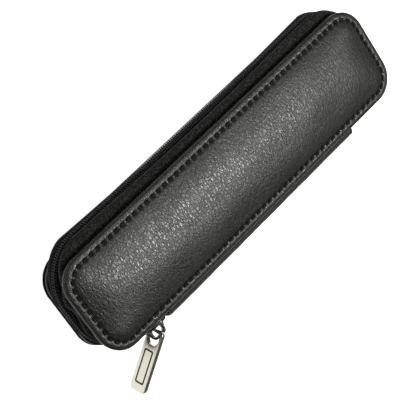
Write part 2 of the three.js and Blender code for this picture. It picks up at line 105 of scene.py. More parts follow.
def rounded_outline(half_x, low_y, high_y, radius, count):
    """Points and normals, counter-clockwise from the middle of the +X end, equally spaced."""
    wide, top, bottom = half_x - radius, high_y - radius, low_y + radius
    arc = radius * math.pi / 2
    runs = [
        ((half_x, bottom), (0, 1), top - bottom, None),
        ((wide, top), None, arc, 0.0),
        ((wide, high_y), (-1, 0), 2 * wide, None),
        ((-wide, top), None, arc, math.pi / 2),
        ((-half_x, top), (0, -1), top - bottom, None),
        ((-wide, bottom), None, arc, math.pi),
        ((-wide, low_y), (1, 0), 2 * wide, None),
        ((wide, bottom), None, arc, 1.5 * math.pi),
    ]
    total = sum(run[2] for run in runs)
    points, normals = [], []
    for i in range(count):
        along = (i / count * total + (top - bottom) / 2) % total
        for origin, direction, length, turn in runs:
            if along <= length:
                break
            along -= length
        if turn is None:
            points.append((origin[0] + direction[0] * along, origin[1] + direction[1] * along))
            normals.append((direction[1], -direction[0]))
        else:
            angle = turn + along / radius
            normal = (math.cos(angle), math.sin(angle))
            points.append((origin[0] + radius * normal[0], origin[1] + radius * normal[1]))
            normals.append(normal)
    return np.array(points), np.array(normals), total


def rim_outline(inset, count):
    """The rim's outline moved inwards, with its normals and its length."""
    radius = max(RIM_RADIUS - inset, 1.0)
    return rounded_outline(RIM_X - inset, inset - RIM_Y, RIM_Y - inset, radius, count)


def inset_from_rim(x, y):
    """How far a point lies inside the cover's rim."""
    qx = np.abs(x) - (RIM_X - RIM_RADIUS)
    qy = np.abs(y) - (RIM_Y - RIM_RADIUS)
    outside = np.hypot(np.maximum(qx, 0), np.maximum(qy, 0))
    return RIM_RADIUS - outside - np.minimum(np.maximum(qx, qy), 0)


# %% Meshes from grids of points


def make_object(name, vertices, faces, side=1):
    """A mesh in metres from points in millimetres, height measured from the middle plane."""
    points = np.array(vertices, float)
    points[:, 2] = MIDDLE + side * points[:, 2]
    mesh = bpy.data.meshes.new(name)
    mesh.from_pydata((points * MM).tolist(), [], [list(face) for face in faces])
    mesh.update()
    piece = linked(name, mesh)
    tidy_normals(piece)
    shade_smooth(mesh)
    return piece


def linked(name, data):
    """A new object in the scene."""
    piece = bpy.data.objects.new(name, data)
    bpy.context.collection.objects.link(piece)
    return piece


def baked(piece):
    """The mesh that an object has after its modifiers, or after its curve is filled."""
    graph = bpy.context.evaluated_depsgraph_get()
    return bpy.data.meshes.new_from_object(piece.evaluated_get(graph))


def shade_smooth(mesh):
    mesh.polygons.foreach_set("use_smooth", [True] * len(mesh.polygons))


def tidy_normals(piece):
    """Merges doubles and points every face outwards."""
    work = bmesh.new()
    work.from_mesh(piece.data)
    bmesh.ops.remove_doubles(work, verts=work.verts, dist=1e-7)
    bmesh.ops.recalc_face_normals(work, faces=work.faces)
    work.to_mesh(piece.data)
    work.free()


def grid_faces(rows, columns):
    """Quads between closed rows of points, listed row by row."""
    faces = []
    for r in range(rows - 1):
        for c in range(columns):
            right = (c + 1) % columns
            here, below = r * columns, (r + 1) * columns
            faces.append((here + c, here + right, below + right, below + c))
    return faces


def tube_faces(rows, columns):
    """Quads round a tube of closed rows, with a cap at each end."""
    last = (rows - 1) * columns
    caps = [tuple(range(columns)), tuple(last + c for c in reversed(range(columns)))]
    return grid_faces(rows, columns) + caps


def lengths_along(points):
    """The distance travelled along a row of points, from its first."""
    steps = np.linalg.norm(np.diff(points, axis=0), axis=1)
    return np.concatenate([[0], np.cumsum(steps)])


def write_uv(piece, u_of_vertex, v_of_vertex):
    """A UV map in metres, so that a weave keeps its true scale."""
    layer = piece.data.uv_layers.new(name="cloth")
    for loop in piece.data.loops:
        corner = loop.vertex_index
        layer.data[loop.index].uv = (u_of_vertex[corner], v_of_vertex[corner])


def swept_band(name, path, normals, section, side):
    """Sweeps a closed section, given as (outward, height) pairs for each path point."""
    rows, columns = len(path), len(section(0))
    vertices = []
    for i in range(rows):
        for outward, height in section(i):
            x, y = path[i] + normals[i] * outward
            vertices.append((x, y, height))
    return make_object(name, vertices, tube_faces(rows, columns), side)


# %% [markdown]
# ## Helpers for finishes
# A finish is a small network of shader nodes. Writing it as Python arithmetic keeps it readable:
# a value stands for a socket, and every plus or times on it adds one Math node.

# %% Shader arithmetic


class Value:
    """A number that varies over the surface."""

    def __init__(self, finish, socket):
        self.finish = finish
        self.socket = socket

    def math(self, operation, *others):
        return self.finish.node("ShaderNodeMath", {"operation": operation}, [self, *others])

    def __add__(self, other):
        return self.math("ADD", other)

    def __mul__(self, other):
        return self.math("MULTIPLY", other)

    def __sub__(self, other):
        return self.math("SUBTRACT", other)

    def __rsub__(self, other):
        return self.finish.node("ShaderNodeMath", {"operation": "SUBTRACT"}, [other, self])

    __radd__, __rmul__ = __add__, __mul__

    def limited(self):
        return self.finish.node("ShaderNodeClamp", {}, [self])

    def between(self, low, high):
        """0 below low, 1 above high, with a smooth step between."""
        settings = {"interpolation_type": "SMOOTHSTEP"}
        sockets = {"Value": self, "From Min": low, "From Max": high}
        return self.finish.node("ShaderNodeMapRange", settings, sockets)


class Finish:
    """One material: its Principled shader and the nodes that feed it."""

    def __init__(self, name, **fixed):
        self.material = bpy.data.materials.new(name)
        self.material.use_nodes = True
        self.tree = self.material.node_tree
        self.shader = next(n for n in self.tree.nodes if n.type == "BSDF_PRINCIPLED")
        for socket, value in fixed.items():
            self.shader.inputs[socket.replace("_", " ")].default_value = value

    def node(self, kind, settings, sockets, output=0):
        """Adds a node: settings first, then values or links by socket name or order."""
        made = self.tree.nodes.new(kind)
        for key, setting in settings.items():
            setattr(made, key, setting)
        pairs = sockets.items() if isinstance(sockets, dict) else enumerate(sockets)
        for key, value in pairs:
            self.feed(made.inputs[key], value)
        return Value(self, made.outputs[output])

    def feed(self, socket, value):
        if isinstance(value, Value):
            self.tree.links.new(value.socket, socket)
        else:
            socket.default_value = value

    def place(self, scale=(1, 1, 1), turn=0.0, source="Object"):
        """Object coordinates or the cloth UV map, stretched and turned."""
        if source == "Object":
            point = self.node("ShaderNodeTexCoord", {}, {}, output=3)
        else:
            point = self.node("ShaderNodeUVMap", {"uv_map": source}, {})
        sockets = {"Vector": point, "Scale": scale, "Rotation": (0, 0, turn)}
        return self.node("ShaderNodeMapping", {}, sockets)

    def noise(self, point, scale, detail=2.0):
        sockets = {"Vector": point, "Scale": scale, "Detail": detail}
        return self.node("ShaderNodeTexNoise", {}, sockets)

    def cells(self, point, scale, feature="F1"):
        sockets = {"Vector": point, "Scale": scale}
        return self.node("ShaderNodeTexVoronoi", {"feature": feature}, sockets)

    def wave(self, point, scale, direction):
        settings = {"wave_type": "BANDS", "bands_direction": direction, "wave_profile": "SIN"}
        sockets = {"Vector": point, "Scale": scale}
        return self.node("ShaderNodeTexWave", settings, sockets, output=1)

    def blend(self, factor, low, high):
        """A colour between low and high. Mix's colour sockets are its sixth and seventh."""
        made = self.tree.nodes.new("ShaderNodeMix")
        made.data_type = "RGBA"
        self.feed(made.inputs[0], factor)
        self.feed(made.inputs[6], low)
        self.feed(made.inputs[7], high)
        return Value(self, made.outputs[2])

    def bumped(self, height, depth_mm, strength=1.0):
        """A bump whose height, from 0 to 1, stands for depth_mm."""
        sockets = {"Strength": strength, "Distance": depth_mm * MM, "Height": height}
        return self.node("ShaderNodeBump", {}, sockets)

    def into(self, **links):
        for socket, value in links.items():
            self.feed(self.shader.inputs[socket.replace("_", " ")], value)
        return self.material


def grey(level, warm=0.0):
    return (level * (1 + warm), level, level * (1 - warm), 1.0)


def scaled(color, share):
    return [channel * share for channel in color[:3]] + [1]


# %% [markdown]
# ### Leather
# Pigmented black leather is a low, even colour under a semi-gloss coat. What the eye reads is
# the grain: small pebbles with finer ones on them, cut by folds drawn out in one direction. The
# pebbles' tops are glossier than the creases between them, and the creases get painted shade,
# a colour far darker than the leather's own black. The gloss varies slowly over the whole cover.

# %% Black leather
PEBBLE_CELLS, FINE_CELLS, FOLD_CELLS = 840.0, 1900.0, 640.0
PEBBLE_STRETCH, FOLD_STRETCH = (1.25, 0.75, 1.0), (1.0, 0.35, 1.0)
DRIFT_REACH = 0.001
# The crease colour is painted shade, far darker than the leather's own black, so that creases read
# as shaded away from the highlight.
CREASE_PAINTED_SHADE, PEBBLE_BLACK = grey(0.0010, 0.10), grey(0.0145, 0.12)
GRAIN_DEPTH = 0.062


def leather_finish(name, gloss=0.29, grain=1.0):
    finish = Finish(name, Specular_IOR_Level=0.5)
    flat = finish.place()
    drift = finish.node("ShaderNodeTexNoise", {}, {"Vector": flat, "Scale": 300.0}, output=1)
    moved = finish.node("ShaderNodeVectorMath", {"operation": "MULTIPLY_ADD"},
                        [drift, (DRIFT_REACH,) * 3, flat])

    def creased(stretch, cells, width):
        drawn = finish.node("ShaderNodeMapping", {}, {"Vector": moved, "Scale": stretch})
        return finish.cells(drawn, cells, "DISTANCE_TO_EDGE").between(0.0, width)

    pebbles = creased(PEBBLE_STRETCH, PEBBLE_CELLS, 0.20)
    fine = creased(PEBBLE_STRETCH, FINE_CELLS, 0.22)
    folds = creased(FOLD_STRETCH, FOLD_CELLS, 0.22)
    slow = finish.noise(flat, 70.0, detail=3.0)
    depth = 0.6 + (finish.noise(flat, 120.0) - 0.35).limited()
    height = pebbles * depth * 0.65 + folds * 0.45 + fine * 0.15
    # This mask is high on pebble tops and low in creases: it sets the gloss, and it paints shade
    # into the creases' colour.
    pebble_tops_and_crease_shade = (pebbles * (0.6 + 0.4 * fine) * (0.35 + 0.65 * folds)).limited()
    color = finish.blend(pebble_tops_and_crease_shade, CREASE_PAINTED_SHADE, PEBBLE_BLACK)
    rough = gloss + 0.24 * (1 - pebble_tops_and_crease_shade) + 0.14 * (slow - 0.5)
    bump = finish.bumped(height, GRAIN_DEPTH * grain, 0.9)
    return finish.into(Base_Color=color, Roughness=rough, Normal=bump)


LEATHER_COVER = leather_finish("black_grained_leather")
LEATHER_TRIM = leather_finish("black_trim_leather", gloss=0.36, grain=0.5)

# %% [markdown]
# ### Cloth, thread and nylon
# The zip tape is a herringbone weave, the lining a fine plain weave, and the pen loops a ribbed
# elastic. Their patterns follow a UV map laid in metres along each band, so that a weave turns
# the corners with the cloth. Thread only needs a fine, uneven fibre.

# %% Cloth finishes
TWILL_ANGLE = math.radians(38)
TWILL_WAVES, COLUMN_WAVES = 560.0, 260.0


def herringbone_finish(name, color):
    finish = Finish(name, Specular_IOR_Level=0.2, Sheen_Weight=0.03, Sheen_Roughness=0.5)
    left = finish.wave(finish.place(turn=TWILL_ANGLE, source="cloth"), TWILL_WAVES, "Y")
    right = finish.wave(finish.place(turn=-TWILL_ANGLE, source="cloth"), TWILL_WAVES, "Y")
    columns = finish.wave(finish.place(source="cloth"), COLUMN_WAVES, "Y").between(0.42, 0.58)
    twill = left * columns + right * (1 - columns)
    fuzz = finish.noise(finish.place(), 1500.0)
    height = twill * 0.7 + fuzz * 0.3
    fleck = (fuzz.between(0.46, 0.64) * (0.35 + 0.65 * twill)).limited()
    shade = finish.blend(fleck, scaled(color, 0.25), scaled(color, 3.4))
    bump = finish.bumped(height, 0.14, 0.8)
    return finish.into(Base_Color=shade, Roughness=0.72 + 0.15 * fuzz, Normal=bump)


def weave_finish(name, color, threads=1500.0):
    finish = Finish(name, Specular_IOR_Level=0.3, Sheen_Weight=0.2, Sheen_Roughness=0.45)
    cloth = finish.place(source="cloth")
    warp = finish.wave(cloth, threads / math.tau, "X")
    weft = finish.wave(cloth, threads / math.tau, "Y")
    fuzz = finish.noise(finish.place(), 2600.0)
    height = warp * weft * 0.7 + fuzz * 0.3
    shade = finish.blend(height.limited(), scaled(color, 0.6), color)
    bump = finish.bumped(height, 0.1, 0.6)
    return finish.into(Base_Color=shade, Roughness=0.7 + 0.2 * fuzz, Normal=bump)


def thread_finish(name, color, rough):
    finish = Finish(name, Specular_IOR_Level=0.2)
    fibres = finish.noise(finish.place(scale=(1, 1, 2.5)), 4200.0)
    shade = finish.blend(fibres, scaled(color, 0.6), color)
    bump = finish.bumped(fibres, 0.04, 0.5)
    return finish.into(Base_Color=shade, Roughness=rough + 0.2 * fibres, Normal=bump)


TAPE_CLOTH = herringbone_finish("black_zip_tape", grey(0.012, 0.02))
LINING_CLOTH = weave_finish("charcoal_lining_cloth", grey(0.065, 0.05))
ELASTIC_CLOTH = weave_finish("black_ribbed_elastic", grey(0.028, 0.02), 2600.0)
THREAD_BLACK = thread_finish("black_bonded_thread", grey(0.005), 0.5)

# %% [markdown]
# ### Metal, nylon, foam and board
# The slider is dark plated die-casting and the puller satin nickel. Cast and brushed metal is
# never even: fine lines along the plate and faint handling marks break up its reflection. The
# nylon of the coil is smooth and a little glossy. Foam and board are only seen where a cover is
# cut away, but they get their own finish too.

# %% Hard finishes


def metal_finish(name, color, rough, brushed=(1, 1, 1)):
    finish = Finish(name, Metallic=1.0)
    lines = finish.noise(finish.place(scale=brushed), 2400.0, detail=3.0)
    marks = finish.noise(finish.place(), 260.0, detail=3.0)
    shade = finish.blend(marks, scaled(color, 0.86), color)
    uneven = rough + 0.10 * (lines - 0.5) + 0.10 * (marks - 0.5)
    return finish.into(Base_Color=shade, Roughness=uneven, Normal=finish.bumped(lines, 0.012, 0.5))


def nylon_finish(name, color, rough):
    finish = Finish(name, Specular_IOR_Level=0.25)
    cloud = finish.noise(finish.place(), 900.0)
    shade = finish.blend(cloud, scaled(color, 0.7), color)
    return finish.into(Base_Color=shade, Roughness=rough + 0.12 * cloud)


def porous_finish(name, color, scale, depth):
    finish = Finish(name, Specular_IOR_Level=0.25)
    pores = finish.cells(finish.place(), scale)
    fleck = finish.noise(finish.place(), scale * 1.7, detail=3.0)
    shade = finish.blend((pores * 0.6 + fleck * 0.6).limited(), scaled(color, 0.55), color)
    bump = finish.bumped(pores, depth, 0.8)
    return finish.into(Base_Color=shade, Roughness=0.85 + 0.1 * fleck, Normal=bump)


SLIDER_METAL = metal_finish("dark_plated_slider", (0.075, 0.073, 0.070, 1), 0.27)
PULLER_METAL = metal_finish("satin_nickel_puller", (0.52, 0.49, 0.43, 1), 0.30, brushed=(1, 6, 6))
ENAMEL = nylon_finish("black_enamel", grey(0.012), 0.25)
COIL_NYLON = nylon_finish("black_coil_nylon", grey(0.024), 0.42)
PAD_FOAM = porous_finish("grey_pad_foam", grey(0.33, 0.04), 1600.0, 0.3)
FIBRE_BOARD = porous_finish("brown_fibre_board", (0.30, 0.21, 0.13, 1), 900.0, 0.05)
print("finishes:", len([m for m in bpy.data.materials if m.use_nodes]))

# %% [markdown]
# ## The covers
# Each cover is one piece of leather drawn over foam on a stiff board and turned down round its
# rim. Cloth simulation needs a remesh of several millimetres, which would wipe out a stitched
# margin three millimetres wide, so the cover is shaped by rule instead: rings of points run
# inwards from the stitch line, and a height is given to each ring.

# %% Sizes of the stitched margin and the crown
STITCH_INSET = 2.7
STITCH_COUNT = 116
SAMPLES_PER_STITCH = 8
CROWN_START = 2.7
CROWN_REACH = 16.0
VALLEY_DEPTH = 0.13
DENT_DEPTH = 0.46
DENT_WIDTH = 0.58
TURNED_EDGE = [
    (0.30, -1.04), (0.08, -0.95), (0.0, -0.80), (0.03, -0.64), (0.16, -0.50), (0.42, -0.36),
    (0.80, -0.23), (1.20, -0.12), (1.60, -0.04), (1.95, -0.01), (2.20, -0.03), (2.45, -0.08),
    (2.7, -0.13), (2.95, -0.09), (3.25, 0.0), (3.65, 0.12), (4.1, 0.26), (4.6, 0.40),
]
EDGE_INNER = TURNED_EDGE[-1][0]
INNER_WALL = [(1.2, -1.06), (2.7, -1.06), (4.0, -1.0)]
CROWN_RINGS = 26


def soft_step(value, low, high):
    t = np.clip((value - low) / (high - low), 0, 1)
    return t * t * (3 - 2 * t)


# %% The crown's height at any place on a cover


def crown_depth(x, y):
    """Distance in from the rim, without the sharp hip line that a true distance would leave."""
    exact = inset_from_rim(x, y)
    across, along = np.maximum(RIM_Y - np.abs(y), 0.01), np.maximum(RIM_X - np.abs(x), 0.01)
    soft = (across**-4.0 + along**-4.0) ** -0.25
    share = soft_step(exact, 4.0, 9.0)
    return exact * (1 - share) + soft * share


def crown_height(x, y, flatness):
    t = np.clip((crown_depth(x, y) - CROWN_START) / CROWN_REACH, 0, 1)
    return RIM_HEIGHT - VALLEY_DEPTH + (CROWN_RISE + VALLEY_DEPTH) * (1 - (1 - t) ** flatness)


def wrinkle(x, y, seed):
    """Slow unevenness of leather over foam, drawn out across the case."""
    wide = [(0.061, 0.10, 0.9), (-0.083, 0.17, 2.1), (0.127, -0.05, 4.4), (0.029, 0.21, 5.3)]
    total = np.zeros_like(x)
    for number, (kx, ky, phase) in enumerate(wide):
        total += np.sin(kx * x * 2 + ky * y * 2 + phase + seed * (1.7 + number)) * 0.035
    return total


print("crown above the margin:", CROWN_RISE, "mm over", CROWN_REACH, "mm")

# %% [markdown]
# The rings outside the stitch line roll over the turned edge. The leather sinks at every hole
# where the thread goes through and swells between, which gives the margin its scalloped look.
# The inner wall follows the outer one at the leather's own thickness, so the cover is a closed
# shell with the foam and the board inside it.

# %% Build a cover


def cover_rings(flatness, seed):
    count = STITCH_COUNT * SAMPLES_PER_STITCH
    path, normals, _ = rim_outline(STITCH_INSET, count)
    dent = (0.5 - 0.5 * np.cos(np.arange(count) / SAMPLES_PER_STITCH * 2 * math.pi)) ** 0.8
    rings = []
    for inset, lift in TURNED_EDGE:
        ring = path + normals * (STITCH_INSET - inset)
        x, y = ring[:, 0], ring[:, 1]
        near_stitch = math.exp(-(((inset - STITCH_INSET) / DENT_WIDTH) ** 2))
        pulled = math.exp(-(((inset - 1.6) / 0.9) ** 2))
        at_rim = math.exp(-(((inset - 0.2) / 0.5) ** 2))
        height = RIM_HEIGHT + lift - DENT_DEPTH * near_stitch * dent - 0.07 * pulled * dent
        outward = -0.05 * at_rim * dent
        height = height + wrinkle(x, y, seed) * 0.5 * soft_step(np.array(inset), 0.5, 3.0)
        rings.append(np.column_stack([ring + normals * outward[:, None], height]))
    edge = path + normals * (STITCH_INSET - EDGE_INNER)
    spine_x = np.clip(edge[:, 0], -(RIM_X - RIM_Y), RIM_X - RIM_Y)
    centre = np.column_stack([spine_x, np.zeros(count)])
    for step in range(1, CROWN_RINGS + 1):
        ring = edge + (centre - edge) * (step / CROWN_RINGS) ** 0.92
        x, y = ring[:, 0], ring[:, 1]
        start = rings[len(TURNED_EDGE) - 1][:, 2] - crown_height(edge[:, 0], edge[:, 1], flatness)
        settle = 1 - soft_step(np.array(step / CROWN_RINGS), 0.0, 0.4)
        height = crown_height(x, y, flatness) + start * settle
        height = height + wrinkle(x, y, seed) * (1 - 0.5 * settle)
        rings.append(np.column_stack([ring, height]))
    return rings


def build_cover(name, side, node, flatness, seed, rests=False):
    rings = cover_rings(flatness, seed)
    count = len(rings[0])
    if rests:
        for ring in rings:
            ring[:, 2] = np.minimum(ring[:, 2], CROWN)
    path, normals, _ = rim_outline(STITCH_INSET, count)
    inner = []
    for inset, lift in INNER_WALL:
        ring = path + normals * (STITCH_INSET - inset)
        inner.append(np.column_stack([ring, np.full(count, RIM_HEIGHT + lift)]))
    walls = [*rings[len(TURNED_EDGE) :: 2], rings[-1]]
    lowered = [ring - np.array([0, 0, LEATHER]) for ring in walls]
    loops = list(reversed(lowered)) + list(reversed(inner)) + rings
    cover = make_object(name, np.concatenate(loops), grid_faces(len(loops), count), side)
    close_middle(cover)
    cover.data.materials.append(LEATHER_COVER)
    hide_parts(node)
    return cover


def close_middle(piece):
    """Merges the two rows that meet on the centre line, on the outer and the inner wall."""
    work = bmesh.new()
    work.from_mesh(piece.data)
    bmesh.ops.remove_doubles(work, verts=work.verts, dist=2e-6)
    open_edges = [edge for edge in work.edges if edge.is_boundary]
    bmesh.ops.holes_fill(work, edges=open_edges)
    bmesh.ops.dissolve_degenerate(work, edges=work.edges, dist=1e-7)
    bmesh.ops.recalc_face_normals(work, faces=work.faces)
    print(piece.name, "open edges closed:", len(open_edges),
          "bad edges:", sum(not e.is_manifold for e in work.edges), "faces:", len(work.faces))
    work.to_mesh(piece.data)
    work.free()
    shade_smooth(piece.data)


FRONT_COVER = build_cover("front_cover", 1, "front_cover_leather", 2.05, 0.0)
BACK_COVER = build_cover("back_cover", -1, "back_cover_leather", 3.4, 2.0, rests=True)
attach(FRONT_COVER, "front_half")
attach(BACK_COVER, "back_half")

# %% [markdown]
# The foam and the board already have their real shape in the CAD frame, hidden inside the
# leather, so they are kept and only get their finish.

# %% Foam and board keep their CAD shape
for half in ("front", "back"):
    for node, finish in ((half + "_foam_pad", PAD_FOAM), (half + "_stiffener_board", FIBRE_BOARD)):
        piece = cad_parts[node]
        piece.data.materials.clear()
        piece.data.materials.append(finish)

# %% [markdown]
# ## Stitches
# A row of stitches is one small shape repeated along a path, which is what Geometry Nodes are
# for. The path is a mesh of bare points, one for each stitch, and each point knows the direction
# of the seam. The tree bends a short thread, swells it in the middle so that its ends dive into
# the holes, twists it, and sets one on every point.

# %% A small helper for Geometry Nodes


class Recipe:
    """A node tree with named inputs, that ends in Realize Instances and Set Material."""

    def __init__(self, name, sizes):
        self.tree = bpy.data.node_groups.new(name, "GeometryNodeTree")
        faces = self.tree.interface
        faces.new_socket(name="Geometry", in_out="INPUT", socket_type="NodeSocketGeometry")
        for size, value in sizes.items():
            socket = faces.new_socket(name=size, in_out="INPUT", socket_type="NodeSocketFloat")
            socket.default_value = value
        faces.new_socket(name="Finish", in_out="INPUT", socket_type="NodeSocketMaterial")
        faces.new_socket(name="Geometry", in_out="OUTPUT", socket_type="NodeSocketGeometry")
        self.given = self.tree.nodes.new("NodeGroupInput")

    def size(self, name):
        return self.given.outputs[name]

    def node(self, kind, settings=None, **sockets):
        """Adds a node. A kind with ! is a full type, and a key like _0 is a socket's number."""
        made = self.tree.nodes.new(kind[1:] if kind[0] == "!" else "GeometryNode" + kind)
        for key, setting in (settings or {}).items():
            setattr(made, key, setting)
        for key, value in sockets.items():
            socket = made.inputs[int(key[1:]) if key[0] == "_" else key.replace("_", " ")]
            if isinstance(value, bpy.types.NodeSocket):
                self.tree.links.new(value, socket)
            else:
                socket.default_value = value
        return made.outputs[0]

    def math(self, operation, *values):
        sockets = {f"_{number}": value for number, value in enumerate(values)}
        return self.node("!ShaderNodeMath", {"operation": operation}, **sockets)

    def vector(self, x=0.0, y=0.0, z=0.0):
        return self.node("!ShaderNodeCombineXYZ", X=x, Y=y, Z=z)

    def set_on_points(self, shape):
        """Sets the shape on every point, its X along the seam, and closes the tree."""
        direction = self.node("InputNamedAttribute", {"data_type": "FLOAT_VECTOR"}, Name="seam")
        axes = {"axis": "X", "pivot_axis": "Z"}
        turn = self.node("!FunctionNodeAlignRotationToVector", axes, Vector=direction)
        places = self.size("Geometry")
        placed = self.node("InstanceOnPoints", Points=places, Instance=shape, Rotation=turn)
        real = self.node("RealizeInstances", Geometry=placed)
        smooth = self.node("SetShadeSmooth", _0=real)
        finished = self.node("SetMaterial", Geometry=smooth, Material=self.size("Finish"))
        out = self.tree.nodes.new("NodeGroupOutput")
        self.tree.links.new(finished, out.inputs[0])
        return self.tree


def laid_along(name, tree, places, directions, finish, side=1, **sizes):
    """Runs a recipe on a row of points and keeps the result as a plain mesh."""
    row = bpy.data.meshes.new(name + "_row")
    row.from_pydata((np.array(places) * MM).tolist(), [], [])
    seam = row.attributes.new("seam", "FLOAT_VECTOR", "POINT")
    seam.data.foreach_set("vector", np.array(directions, float).ravel())
    holder = linked(name + "_row", row)
    recipe = holder.modifiers.new("recipe", "NODES")
    recipe.node_group = tree
    given = dict(sizes, finish=finish)
    for socket in tree.interface.items_tree:
        key = socket.name.replace(" ", "_").lower()
        if socket.in_out == "INPUT" and key in given:
            recipe[socket.identifier] = given[key]
    mesh = baked(holder)
    bpy.data.objects.remove(holder)
    points = np.empty(len(mesh.vertices) * 3)
    mesh.vertices.foreach_get("co", points)
    points = points.reshape(-1, 3)
    points[:, 2] = MIDDLE * MM + side * points[:, 2]
    mesh.vertices.foreach_set("co", points.ravel())
    if side < 0:
        mesh.flip_normals()
    mesh.name = name
    piece = linked(name, mesh)
    print(name + ":", len(places), "repeats,", len(mesh.polygons), "faces")
    return piece


# %% One stitch, as a tree


def stitch_recipe():
    recipe = Recipe("sewn_stitch", {"Length": 0.0025, "Thickness": 0.0006, "Arch": 0.0003})
    half = recipe.math("MULTIPLY", recipe.size("Length"), 0.5)
    back = recipe.math("MULTIPLY", half, -1.0)
    dive = recipe.math("MULTIPLY", recipe.size("Arch"), -1.0)
    arc = recipe.node(
        "CurveQuadraticBezier",
        Resolution=7,
        Start=recipe.vector(x=back, z=dive),
        Middle=recipe.vector(z=recipe.size("Arch")),
        End=recipe.vector(x=half, z=dive),
    )
    along = recipe.node("SplineParameter")
    off_centre = recipe.math("ABSOLUTE", recipe.math("MULTIPLY_ADD", along, 2.0, -1.0))
    swell = recipe.math("SUBTRACT", 1.02, recipe.math("POWER", off_centre, 5.0))
    radius = recipe.math("MULTIPLY", recipe.size("Thickness"), recipe.math("SQRT", swell))
    twist = recipe.math("MULTIPLY", along, 5.2)
    arc = recipe.node("SetCurveTilt", Curve=arc, Tilt=twist)
    ply = recipe.node("CurvePrimitiveCircle", {"mode": "RADIUS"}, Resolution=8, Radius=0.5)
    ply = recipe.node("Transform", Geometry=ply, Scale=(1.12, 0.86, 1.0))
    body = recipe.node("CurveToMesh", Curve=arc, Profile_Curve=ply, Scale=radius, Fill_Caps=True)
    return recipe.set_on_points(body)


STITCH = stitch_recipe()

# %% [markdown]
# The cover is sewn all round, through leather, board edge and lining. The thread shows on the
# outside in the valley of the margin and again on the lining inside.

# %% Sew the covers


def ring_of_stitches(inset, height, count):
    path, normals, total = rim_outline(inset, 2 * count)
    middles = slice(1, None, 2)
    directions = np.column_stack([-normals[:, 1], normals[:, 0], np.zeros(len(path))])
    places = np.column_stack([path, np.full(len(path), height)])
    return places[middles], directions[middles], total / count


def joined(name, pieces):
    """Joins plain meshes into one piece."""
    work = bmesh.new()
    materials = []
    for piece in pieces:
        start = len(work.faces)
        work.from_mesh(piece.data)
        work.faces.ensure_lookup_table()
        material = next(m for m in piece.data.materials if m)
        if material not in materials:
            materials.append(material)
        for face in work.faces[start:]:
            face.material_index = materials.index(material)
    mesh = bpy.data.meshes.new(name)
    work.to_mesh(mesh)
    work.free()
    for material in materials:
        mesh.materials.append(material)
    for piece in pieces:
        bpy.data.objects.remove(piece)
    return linked(name, mesh)


for half, side in (("front", 1), ("back", -1)):
    outside, outside_way, pitch = ring_of_stitches(STITCH_INSET, RIM_HEIGHT - 0.30, STITCH_COUNT)
    inside, inside_way, _ = ring_of_stitches(3.3, LINING_LOW[2] - MIDDLE - 0.1, STITCH_COUNT)
    rows = [
        laid_along("outer_row", STITCH, outside, outside_way, THREAD_BLACK, side,
                   length=0.66 * pitch * MM, thickness=0.74 * MM, arch=0.2 * MM),
        laid_along("inner_row", STITCH, inside, inside_way, THREAD_BLACK, side,
                   length=0.8 * pitch * MM, thickness=0.5 * MM, arch=-0.2 * MM),
    ]
    thread = joined(half + "_stitching", rows)
    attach(thread, half + "_half")
    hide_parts(half + "_cover_thread")

# %% [markdown]
# ## The zip
# The zip runs along three sides. Its coils follow a rounder outline than the covers, and the
# tape flares from the coil back to the covers' rim. Near the spine the tape turns the corner
# and its ends are sewn to the spine, so those corners twist when the case opens. They are
# separate pieces, left where they are built, and the long run rides on its half.

# %% The zip's path, run by run


def zip_run(half_x, low_y, high_y, radius, end_x, counts):
    """Points and outward normals from the near end by the spine, round to the far end."""
    wide, top, bottom = half_x - radius, high_y - radius, low_y + radius
    straight, corner, end, side = counts
    points, normals = [], []

    def line(start, stop, normal, count):
        for t in np.linspace(0, 1, count, endpoint=False):
            points.append(np.array(start) * (1 - t) + np.array(stop) * t)
            normals.append(normal)

    def arc(centre, first, last):
        for angle in np.linspace(math.radians(first), math.radians(last), corner, endpoint=False):
            normals.append((math.cos(angle), math.sin(angle)))
            points.append(np.array(centre) + radius * np.array(normals[-1]))

    line((-end_x, low_y), (-wide, low_y), (0, -1), straight)
    arc((-wide, bottom), -90, -180)
    line((-half_x, bottom), (-half_x, top), (-1, 0), end)
    arc((-wide, top), 180, 90)
    line((-wide, high_y), (wide, high_y), (0, 1), side)
    arc((wide, top), 90, 0)
    line((half_x, top), (half_x, bottom), (1, 0), end)
    arc((wide, bottom), 0, -90)
    line((wide, low_y), (end_x, low_y), (0, -1), straight)
    points.append(np.array((end_x, low_y)))
    normals.append((0, -1))
    return np.array(points), np.array(normals)


RUN_COUNTS = (24, 40, 12, 150)
TAIL_END_X = abs(TAIL_HIGH[0])
CHAIN, CHAIN_WAY = zip_run(CHAIN_X, -TAIL_SIDE, ZIP_SIDE, CHAIN_RADIUS, TAIL_END_X, RUN_COUNTS)
RIM, RIM_WAY = zip_run(RIM_X, -RIM_Y, RIM_Y, RIM_RADIUS, TAIL_END_X, RUN_COUNTS)
print("zip from", -TAIL_END_X, "round to", TAIL_END_X, "with", len(CHAIN), "path points")

# %% [markdown]
# Each half's run is cut in three. The cut lies a little way round the end corners. In a corner
# the tape is cut once more, along the zip, into a lower band along the coil and a flaring upper
# band that reaches from the coil to the cover's rim.

# %% Where the run is cut
CUT_X = 72.0
BLEND_FROM, BLEND_TO = 60.8, 70.5
SEAM_HEIGHT = 2.3
CLIMB = 0.75
FIRST_CUT = next(i for i in range(len(CHAIN)) if CHAIN[i][0] <= -CUT_X)
RUN_PARTS = {
    "near_corner": slice(0, FIRST_CUT + 1),
    "side": slice(FIRST_CUT, len(CHAIN) - FIRST_CUT),
    "far_corner": slice(len(CHAIN) - FIRST_CUT - 1, len(CHAIN)),
}


